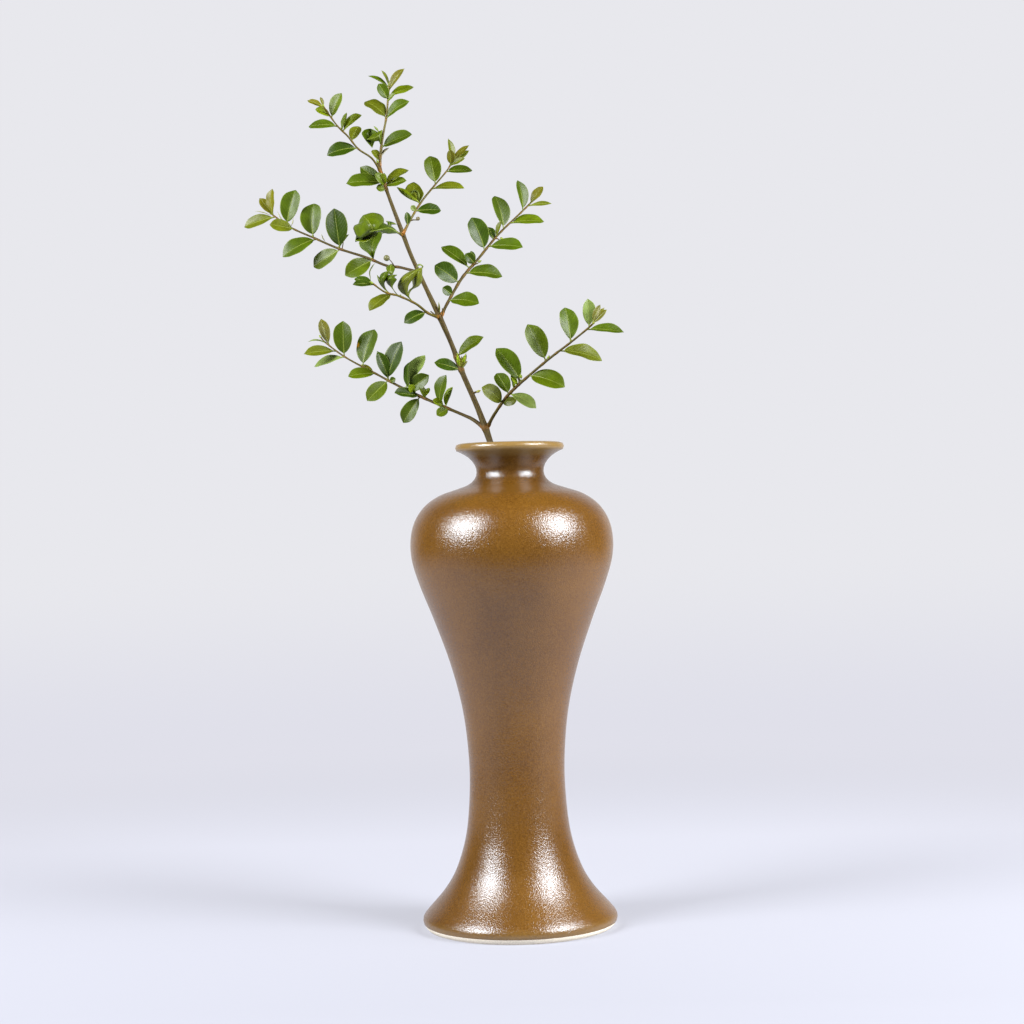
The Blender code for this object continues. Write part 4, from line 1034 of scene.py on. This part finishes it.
# How a leaf's tube becomes its blade: each row names a value, then says how it is worked out and from what.
# Run goes along the whole tube, blade along the blade only, and share along the stalk and the blade
BLADE_STEPS = (
    ("run", "ADD", "tube_z", 0.5), ("opened", "GREATER_THAN", "run", CLOSED_END),
    ("even", "MAP_RANGE", "run", STALK_STATIONS, 1.0, 0.0, 1.0),
    ("half_circle", "MULTIPLY", "even", math.pi), ("round_end", "COSINE", "half_circle"),
    ("eased", "MULTIPLY_ADD", "round_end", -EASED_STATIONS, EASED_STATIONS),
    ("blade", "MULTIPLY_ADD", "even", EVEN_STATIONS, "eased"),
    ("stalk_share", "MAP_RANGE", "run", 0.0, STALK_STATIONS, 0.0, STALK_SHARE),
    ("share", "MULTIPLY_ADD", "blade", 1 - STALK_SHARE, "stalk_share"), ("left", "SUBTRACT", 1.0, "blade"),

    # The outline rises to 1 where the blade is broadest, and its power makes the ends blunt or pointed
    ("to_broadest", "DIVIDE", "blade", BROADEST_AT),
    ("rise", "POWER", "to_broadest", BROADEST_AT / (1 - BROADEST_AT)),
    ("fall", "DIVIDE", "left", 1 - BROADEST_AT), ("hump", "MULTIPLY", "rise", "fall"),
    ("outline", "POWER", "hump", "pointedness"), ("broad", "MULTIPLY", "outline", "half_width"),
    # Its last part narrows to an acute tip, and its first part to the stalk
    ("last", "MAP_RANGE", "left", 0.0, ACUTE_TIP, 0.0, 1.0), ("acute", "POWER", "last", CLOSING),
    ("half", "MULTIPLY", "broad", "acute"), ("left_root", "POWER", "left", 0.5),
    ("stalk", "MULTIPLY", "stalk_radius", "left_root"), ("half_square", "MULTIPLY", "half", "half"),
    ("stalk_square", "MULTIPLY", "stalk", "stalk"), ("both", "ADD", "half_square", "stalk_square"),
    ("width", "POWER", "both", 0.5), ("open_width", "MULTIPLY", "width", "opened"),
    ("across", "MULTIPLY", "tube_x", -1.0), ("out", "MULTIPLY", "across", "open_width"),

    # A soft crease at the midrib, and a wave that grows towards the margin
    ("squared", "MULTIPLY", "across", "across"), ("softened", "ADD", "squared", CREASE_SOFTNESS),
    ("creased", "POWER", "softened", 0.5), ("crease", "MULTIPLY", "creased", "open_width"),
    ("folded", "MULTIPLY", "crease", "fold"), ("turn", "MULTIPLY_ADD", "share", WAVES_ALONG, "phase"),
    ("skewed", "MULTIPLY_ADD", "across", WAVES_ACROSS, "turn"), ("sway", "SINE", "skewed"),
    ("wave", "MULTIPLY", "sway", "squared"), ("rippled", "MULTIPLY", "wave", "ripple"),
    ("waved", "MULTIPLY", "rippled", "open_width"),

    # The arch of the blade, as a part of a circle from stalk to tip
    ("half_bend", "MULTIPLY", "bend", 0.5), ("end_sine", "SINE", "half_bend"),
    ("chord", "MULTIPLY", "end_sine", 2.0), ("from_middle", "SUBTRACT", "share", 0.5),
    ("angle", "MULTIPLY", "from_middle", "bend"), ("sine", "SINE", "angle"), ("cosine", "COSINE", "angle"),
    ("advance", "DIVIDE", "sine", "chord"), ("reach", "ADD", "advance", 0.5),
    ("end_cosine", "COSINE", "half_bend"), ("dip", "SUBTRACT", "cosine", "end_cosine"),
    ("arch", "DIVIDE", "dip", "chord"), ("forward", "MULTIPLY", "reach", "length"),
    ("arched", "MULTIPLY", "arch", "length"), ("relief", "ADD", "folded", "waved"),
    ("raised", "ADD", "relief", "arched"), ("share_square", "MULTIPLY", "share", "share"),
    ("bow", "SUBTRACT", "share_square", "share"), ("bowed", "MULTIPLY", "bow", "sweep"),
    ("swept", "MULTIPLY", "bowed", "length"),

    # Thickness: a round stalk that flattens into the blade, and closes at its tip
    ("root_share", "POWER", "left", FLATTENING), ("half_thick", "MULTIPLY", "thickness", 0.5),
    ("spare", "SUBTRACT", "stalk_radius", "half_thick"),
    ("full", "MULTIPLY_ADD", "spare", "root_share", "half_thick"), ("closing", "POWER", "left", CLOSING),
    ("narrowed", "MULTIPLY", "full", "closing"), ("thick", "MULTIPLY", "narrowed", "opened"),
    ("lifted", "MULTIPLY", "thick", "tube_y"),

    # The blade turns about its length a little from stalk to tip
    ("turned", "MULTIPLY", "twist", "share"), ("turned_cosine", "COSINE", "turned"),
    ("turned_sine", "SINE", "turned"), ("out_side", "MULTIPLY", "turned_cosine", "out"),
    ("out_up", "MULTIPLY", "turned_sine", "out"), ("lift_up", "MULTIPLY", "cosine", "lifted"),
    ("lift_ahead", "MULTIPLY", "sine", "lifted"))
# Values that rounding may carry past 0 or 1
CLAMPED = ("blade", "left")
# The parts of each point's place, as the direction that it goes in and how far
BLADE_PLACE = (("ahead", "forward"), ("ahead", "lift_ahead"), ("upper", "raised"), ("upper", "out_up"),
               ("upper", "lift_up"), ("side", "out_side"), ("side", "swept"))


def leaf_tree():
    """Blades that stand on points, each one folded, arched, twisted and waved as its point says."""
    tree, given = new_tree("Leaves", {
        "Sides": ("NodeSocketInt", 24), "Stations": ("NodeSocketInt", 20),
        "Thickness": ("NodeSocketFloat", 0.45 * MM), "Stalk": ("NodeSocketFloat", 0.4 * MM),
        "Material": ("NodeSocketMaterial", None)})
    tube = add(tree, "GeometryNodeMeshCylinder", {
        "Vertices": given["Sides"], "Side Segments": given["Stations"], "Radius": 1.0, "Depth": 1.0},
        fill_type="NONE")
    copies = add(tree, "GeometryNodeInstanceOnPoints", {
        "Points": given["Geometry"], "Instance": marked(tree, tube, "section")})
    shape = add(tree, "GeometryNodeRealizeInstances", {"Geometry": copies})

    vector = vectors(tree, ("section", "root", "ahead", "side", "upper", "size", "form", "life"))
    value = {"thickness": given["Thickness"], "stalk_radius": given["Stalk"]}
    for name, labels in (("section", ("tube_x", "tube_y", "tube_z")),
                         ("size", ("length", "half_width", "pointedness")),
                         ("form", ("bend", "fold", "twist")), ("life", ("sweep", "ripple", "phase"))):
        value.update(zip(labels, add(tree, "ShaderNodeSeparateXYZ", (vector[name],)).outputs))
    for name, work, *terms in BLADE_STEPS:
        sockets = [value.get(term, term) for term in terms]
        if work == "MAP_RANGE":
            value[name] = add(tree, "ShaderNodeMapRange", sockets)
        else:
            value[name] = add(tree, "ShaderNodeMath", sockets, operation=work, use_clamp=name in CLAMPED)
    place = vector["root"]
    for way, distance in BLADE_PLACE:
        part = add(tree, "ShaderNodeVectorMath", {
            0: vector[way], "Scale": value[distance]}, operation="SCALE")
        place = add(tree, "ShaderNodeVectorMath", (place, part), operation="ADD")

    # The material reads where on its blade a point is, in shares and in mm
    shares = add(tree, "ShaderNodeCombineXYZ", (value["across"], value["share"], value["tube_y"]))
    spots = add(tree, "ShaderNodeVectorMath", {
        0: add(tree, "ShaderNodeCombineXYZ", (value["out"], value["forward"], 0.0)), "Scale": 1 / MM},
        operation="SCALE")
    for name, where in (("share", shares), ("spot", spots)):
        shape = add(tree, "GeometryNodeStoreNamedAttribute", {
            "Geometry": shape, "Name": name, "Value": where}, data_type="FLOAT_VECTOR")
    shaped = add(tree, "GeometryNodeSetPosition", {"Geometry": shape, "Position": place})
    merged = add(tree, "GeometryNodeMergeByDistance", {"Geometry": shaped, "Distance": BLADE_MERGE * MM})
    return passed_out(tree, merged, given["Material"])


def leaf_points(name, path, leaves, tones):
    """A mesh of points, one for each leaf, with all that the leaf tree reads."""
    # The same draws as in the part's source, so that each blade folds and twists as its solid does
    chance = random.Random(name)
    taste = random.Random(name + " looks")
    keys = ("root", "ahead", "side", "upper", "size", "form", "life")
    values = {key: [] for key in keys}
    colours = []
    for distance, length, width, heading, lean, roll, curl, sweep, tone in leaves:
        fold = math.tan(math.radians(chance.uniform(*FOLD)))
        twist = math.radians(chance.uniform(-TWIST, TWIST))
        slim = (BLUNT_RATIO - width / length) / (BLUNT_RATIO - POINTED_RATIO)
        point = BLUNT + (POINTED - BLUNT) * min(1.0, max(0.0, slim))
        if tone is None:
            continue
        root, _ = along(path, distance)
        ahead, side, upper = blade_frame(heading, lean, roll)
        row = (root * MM, ahead, side, upper, (length * MM, width / 2 * MM, point),
               (math.radians(curl), fold, twist),
               (SWEEP_STEP * sweep, taste.uniform(*RIPPLE), taste.uniform(*PHASE)))
        for key, value in zip(keys, row):
            values[key].append(tuple(value))
        bright = taste.uniform(*BRIGHTNESS)
        warm = taste.uniform(*WARMTH)
        red, green, blue, _ = tones[tone]
        colours.append((red * bright * warm, green * bright, blue * bright / warm, 1.0))
    mesh = bpy.data.meshes.new(name)
    mesh.from_pydata(values["root"], [], [])
    for key in keys:
        stored(mesh, key, "FLOAT_VECTOR", values[key])
    stored(mesh, "tone", "FLOAT_COLOR", colours)
    return mesh


def curled_mesh(name, leaves, tones, thickness):
    """Closed blades skinned over their sections, with all that the leaf material reads."""
    points, faces, share, spot, colours = [], [], [], [], []
    for tone, sections in leaves:
        full = [section if isinstance(section[0], tuple) else (section,) * 3 for section in sections]
        stations = list(zip(*(smooth(rail, steps=CURL_STEPS) for rail in zip(*full))))
        sides = 2 * CURL_STEPS
        far = distances([station[1] for station in stations])
        for number, station in enumerate(stations):
            row = [Vector(place) for place in smooth(station, steps=CURL_STEPS)]
            before, after = stations[max(0, number - 1)], stations[min(number + 1, len(stations) - 1)]
            ahead = Vector(after[1]) - Vector(before[1])
            thick = min(thickness, CURL_THICKNESS * MM * (row[-1] - row[0]).length)
            for step in range(2 * sides):
                at = min(step, 2 * sides - step)
                across = 2 * at / sides - 1
                along_row = row[min(at + 1, sides)] - row[max(at - 1, 0)]
                lens = math.copysign(math.sqrt(1 - across * across), sides - step)
                shift = along_row.cross(ahead).normalized() * lens * thick / 2
                points.append((row[at] * MM) + shift)
                share.append((across, far[number] / far[-1], lens))
                spot.append(((row[at] - row[CURL_STEPS]).length, far[number], 0))
                colours.append(tones[tone])
                if number:
                    last = len(points) - 1
                    after_step = last + 1 if step < 2 * sides - 1 else last + 1 - 2 * sides
                    faces.append((last, after_step, after_step - 2 * sides, last - 2 * sides))
    mesh = bpy.data.meshes.new(name)
    mesh.from_pydata(points, [], faces)
    stored(mesh, "share", "FLOAT_VECTOR", share)
    stored(mesh, "spot", "FLOAT_VECTOR", spot)
    stored(mesh, "tone", "FLOAT_COLOR", colours)
    closed(mesh)
    return mesh


class STEMVASE_OT_leaves(bpy.types.Operator):
    """Grow the leaves of every stick, in their pairs and tufts"""
    bl_idname = "stemvase.leaves"
    bl_label = "Leaves"

    def execute(self, context):
        settings = context.scene.stemvase_leaf
        tones = [getattr(settings, name) for name in TONES]
        cuticle = leaf_material(settings)
        tree = leaf_tree()
        for name, (route, leaves, _, _, slot) in STICKS.items():
            points = leaf_points(name, smooth(route, WOOD_SPACING), leaves, tones)
            piece = grown(f"leaves_{name}", points, tree, {
                "Sides": settings.sides, "Stations": settings.stations, "Thickness": settings.thickness,
                "Stalk": settings.stalk, "Material": cuticle})
            finished(piece, name)
            curled = [(tone, sections) for stick, tone, sections in CURLED_LEAVES if stick == name]
            if curled:
                piece = new_object(f"curled_{name}", curled_mesh(name, curled, tones, settings.thickness))
                piece.data.materials.append(cuticle)
                finished(piece, name)
        return {"FINISHED"}


def bud_tree():
    """Buds and berries that stand on points, each one pointed or round and as large as its point says."""
    tree, given = new_tree("Buds", {
        "Segments": ("NodeSocketInt", BUD_SEGMENTS), "Rings": ("NodeSocketInt", BUD_RINGS),
        "Material": ("NodeSocketMaterial", None)})
    vector = vectors(tree, ("root", "facing", "scale", "section"))
    pointed = add(tree, "GeometryNodeInputNamedAttribute", {"Name": "pointed"})
    ball = add(tree, "GeometryNodeMeshUVSphere", {
        "Segments": given["Segments"], "Rings": given["Rings"], "Radius": 1.0})
    turned_to = add(tree, "FunctionNodeAlignRotationToVector", {"Vector": vector["facing"]}, axis="Z")
    copies = add(tree, "GeometryNodeInstanceOnPoints", {
        "Points": given["Geometry"], "Instance": marked(tree, ball, "section"), "Rotation": turned_to,
        "Scale": vector["scale"]})
    real = add(tree, "GeometryNodeRealizeInstances", {"Geometry": copies})
    # The radius narrows towards the point, by the share of the height and by how pointed the bud is
    height = add(tree, "ShaderNodeSeparateXYZ", (vector["section"],)).outputs["Z"]
    above = add(tree, "ShaderNodeMath", (height, 0.0), operation="MAXIMUM")
    narrow = add(tree, "ShaderNodeMath", (above, pointed), operation="MULTIPLY")
    drawn_in = add(tree, "ShaderNodeMath", (narrow, BUD_NARROWING), operation="MULTIPLY")
    offset = add(tree, "ShaderNodeVectorMath", (
        add(tree, "GeometryNodeInputPosition"), vector["root"]), operation="SUBTRACT")
    straight = add(tree, "ShaderNodeVectorMath", (offset, vector["facing"]), operation="PROJECT")
    outward = add(tree, "ShaderNodeVectorMath", (offset, straight), operation="SUBTRACT")
    shift = add(tree, "ShaderNodeVectorMath", {0: outward, "Scale": drawn_in}, operation="SCALE")
    shaped = add(tree, "GeometryNodeSetPosition", {"Geometry": real, "Offset": shift})
    return passed_out(tree, shaped, given["Material"])


def bud_points(name, path, leaves, stubs, bud, berry):
    """A mesh of points, one for each bud and berry of a stick."""
    taste = random.Random(name + " buds")
    rows = []
    for distance, _, _, heading, lean, *_ in leaves[::2]:
        root, ahead = along(path, distance)
        stalk = direction(heading, lean)
        facing = (stalk + ahead * AXIL_BUD_LEAN).normalized()
        rows.append((root + stalk * AXIL_BUD_OUT + ahead * AXIL_BUD_UP, facing,
                     (AXIL_BUD, AXIL_BUD, taste.uniform(*AXIL_BUD_LENGTH)), 1.0, bud))
    tip, ahead = along(path, distances(path)[-1])
    rows.append((tip + ahead * TIP_BUD_OUT, ahead, TIP_BUD, 1.0, bud))
    for distance, length, heading, lean, _, radius in stubs:
        if radius:
            root, _ = along(path, distance)
            facing = direction(heading, lean)
            ratio, pointed, tone = (1, 0.0, berry) if radius >= BERRY_RADIUS else (STUB_BUD_RATIO, 1.0, bud)
            rows.append((root + facing * length, facing, (radius, radius, ratio * radius), pointed, tone))
    mesh = bpy.data.meshes.new(name)
    roots = [tuple(row[0] * MM) for row in rows]
    mesh.from_pydata(roots, [], [])
    stored(mesh, "root", "FLOAT_VECTOR", roots)
    stored(mesh, "facing", "FLOAT_VECTOR", [tuple(row[1]) for row in rows])
    stored(mesh, "scale", "FLOAT_VECTOR", [tuple(number * MM for number in row[2]) for row in rows])
    stored(mesh, "pointed", "FLOAT", [row[3] for row in rows])
    stored(mesh, "tone", "FLOAT_COLOR", [
        tuple(channel * taste.uniform(*BUD_TINT) for channel in row[4][:3]) + (1.0,) for row in rows])
    return mesh


class STEMVASE_OT_buds(bpy.types.Operator):
    """Set the buds in the leaves' axils and at the tips, and the berries on their stubs"""
    bl_idname = "stemvase.buds"
    bl_label = "Buds and berries"

    def execute(self, context):
        settings = context.scene.stemvase_wood
        skin = bud_material()
        tree = bud_tree()
        for name, (route, leaves, stubs, _, _) in STICKS.items():
            path = smooth(route, WOOD_SPACING)
            points = bud_points(name, path, leaves, stubs, settings.bud, settings.berry)
            piece = grown(f"buds_{name}", points, tree, {
                "Segments": BUD_SEGMENTS, "Rings": BUD_RINGS, "Material": skin})
            finished(piece, name)
        return {"FINISHED"}


def floor_material(settings):
    """Matt seamless studio paper, lit as a real floor with a painted glow near the vase and even with the
    backdrop far off.
    """
    material, tree = new_material("Seamless studio paper")
    place = add(tree, "ShaderNodeTexCoord").outputs["Object"]
    # The paper glows with painted light, which stands in for light from all round: it softens the shadows on
    # it and grows towards the wall
    depth = add(tree, "ShaderNodeSeparateXYZ", (place,)).outputs["Y"]
    painted_glow = add(tree, "ShaderNodeMapRange", {"Value": depth, **FLOOR_PAINTED_GLOW})
    paper = add(tree, "ShaderNodeBsdfPrincipled", {
        "Base Color": settings.floor, "Roughness": 0.95, "Specular IOR Level": 0.1,
        "Emission Color": settings.far_floor, "Emission Strength": painted_glow})
    radius = add(tree, "ShaderNodeVectorMath", (place,), operation="LENGTH").outputs["Value"]
    far = add(tree, "ShaderNodeMapRange", {"Value": radius, **FLOOR_FADE}, interpolation_type="SMOOTHSTEP")
    glow = add(tree, "ShaderNodeEmission", {"Color": settings.far_floor, "Strength": 1.0})
    mixed = add(tree, "ShaderNodeMixShader", (far, paper, glow))
    add(tree, "ShaderNodeOutputMaterial", {"Surface": mixed})
    return material


def studio_world(settings):
    """A pale backdrop, and for light and reflections a dark studio in front and a bright wall behind."""
    world = bpy.data.worlds.new("Studio")
    world.use_nodes = True
    tree = world.node_tree
    tree.nodes.clear()
    way = add(tree, "ShaderNodeSeparateXYZ", (add(tree, "ShaderNodeTexCoord").outputs["Generated"],)).outputs
    behind, level, rise = (
        add(tree, "ShaderNodeMapRange", {"Value": way[axis], **span}, interpolation_type="SMOOTHSTEP")
        for axis, span in (("Y", WALL_BEHIND), ("Z", WALL_TOP), ("Z", HORIZON)))
    lit = add(tree, "ShaderNodeMix", {
        "Factor": add(tree, "ShaderNodeMath", (behind, level), operation="MULTIPLY"),
        "A": DARK_STUDIO, "B": settings.wall}, data_type="RGBA")
    backdrop = add(tree, "ShaderNodeMix", {
        "Factor": rise, "A": settings.far_floor, "B": settings.wall}, data_type="RGBA")
    seen = add(tree, "ShaderNodeMix", {
        "Factor": add(tree, "ShaderNodeLightPath").outputs["Is Camera Ray"], "A": lit, "B": backdrop},
        data_type="RGBA")
    background = add(tree, "ShaderNodeBackground", {"Color": seen, "Strength": 1.0})
    add(tree, "ShaderNodeOutputWorld", {"Surface": background})
    return world


def softbox(name, place, target, size, power, mirrored=True):
    """A rectangular softbox that faces a point, and shows in gloss or not."""
    light = bpy.data.lights.new(name, "AREA")
    light.shape = "RECTANGLE"
    light.size, light.size_y = size
    light.energy = power
    obj = bpy.data.objects.new(name, light)
    obj.location = place
    obj.rotation_euler = (Vector(target) - Vector(place)).to_track_quat("-Z", "Y").to_euler()
    obj.visible_glossy = mirrored
    bpy.context.scene.collection.objects.link(obj)


def flat_sheet(name, corners, material):
    """A flat piece of the stage between its corners, which run round its upper face."""
    mesh = bpy.data.meshes.new(name)
    mesh.from_pydata(corners, [], [range(len(corners))])
    mesh.materials.append(material)
    sheet = new_object(name, mesh)
    return sheet


def flag_material():
    """Black felt: it sends back almost nothing."""
    material, tree = new_material("Black felt")
    # Its fuzz stands in tufts 4 mm apart
    fuzz = add(tree, "ShaderNodeTexNoise", {"Scale": 1 / (4 * MM), "Detail": 2.0})
    dim = add(tree, "ShaderNodeMapRange", {"Value": fuzz, "To Min": 0.004, "To Max": 0.012})
    return surfaced(material, {
        "Base Color": add(tree, "ShaderNodeCombineXYZ", (dim, dim, dim)), "Roughness": 1.0,
        "Specular IOR Level": 0.0})


class STEMVASE_OT_stage(bpy.types.Operator):
    """Set the floor, the backdrop, the softboxes and the camera"""
    bl_idname = "stemvase.stage"
    bl_label = "Stage"

    def execute(self, context):
        settings = context.scene.stemvase_stage
        scene = context.scene
        turns = [math.tau * step / FLOOR_SIDES for step in range(FLOOR_SIDES)]
        rim = [(FLOOR_RADIUS * math.cos(turn), FLOOR_RADIUS * math.sin(turn), 0) for turn in turns]
        flat_sheet("floor", rim, floor_material(settings))
        # A black flag lies across the front, out of the picture, and darkens the upper half of the glaze
        near, far, wide, high = FLAG
        corners = [(-wide, far, high), (wide, far, high), (wide, near, high), (-wide, near, high)]
        flag = flat_sheet("flag", corners, flag_material())
        flag.visible_camera = False
        flag.visible_shadow = False
        flag.visible_diffuse = False
        scene.world = studio_world(settings)
        (right, front, high), target, size = SOFTBOX
        softbox("softbox_left", (-right, front, high), target, size, settings.left_softbox)
        softbox("softbox_right", (right, front, high), target, size, settings.right_softbox)
        softbox("fill_right", *FILL, settings.right_fill, mirrored=False)
        camera = bpy.data.cameras.new("camera")
        camera.lens = LENS
        camera.sensor_width = SENSOR
        obj = bpy.data.objects.new("camera", camera)
        obj.location = CAMERA_PLACE
        obj.rotation_euler = (math.pi / 2, math.radians(CAMERA_ROLL), 0)
        scene.collection.objects.link(obj)
        scene.camera = obj
        scene.view_settings.view_transform = "Standard"
        return {"FINISHED"}


class STEMVASE_PT_panel(bpy.types.Panel):
    """The pieces of the part and the stage, in the order that they are built in"""
    bl_idname = "STEMVASE_PT_panel"
    bl_label = "Stem in Vase"
    bl_space_type = "VIEW_3D"
    bl_region_type = "UI"
    bl_category = "Stem in Vase"

    def draw(self, context):
        for operator in OPERATORS:
            self.layout.operator(operator.bl_idname)
        for name in SETTINGS:
            group = getattr(context.scene, name)
            for key in group.bl_rna.properties.keys():
                if key not in ("rna_type", "name"):
                    self.layout.prop(group, key)


SETTINGS = {
    "stemvase_vase": VaseSettings, "stemvase_wood": WoodSettings, "stemvase_leaf": LeafSettings,
    "stemvase_stage": StageSettings,
}
OPERATORS = (STEMVASE_OT_vase, STEMVASE_OT_water, STEMVASE_OT_wood, STEMVASE_OT_leaves, STEMVASE_OT_buds,
             STEMVASE_OT_stage)
CLASSES = (*SETTINGS.values(), *OPERATORS, STEMVASE_PT_panel)


def register():
    for cls in CLASSES:
        bpy.utils.register_class(cls)
    for name, group in SETTINGS.items():
        setattr(bpy.types.Scene, name, PointerProperty(type=group))


def unregister():
    for name in SETTINGS:
        delattr(bpy.types.Scene, name)
    for cls in reversed(CLASSES):
        bpy.utils.unregister_class(cls)


def main():
    register()
    bpy.ops.stemvase.vase()
    bpy.ops.stemvase.water()
    bpy.ops.stemvase.wood()
    bpy.ops.stemvase.leaves()
    bpy.ops.stemvase.buds()
    bpy.ops.stemvase.stage()


if __name__ == "__main__":
    main()
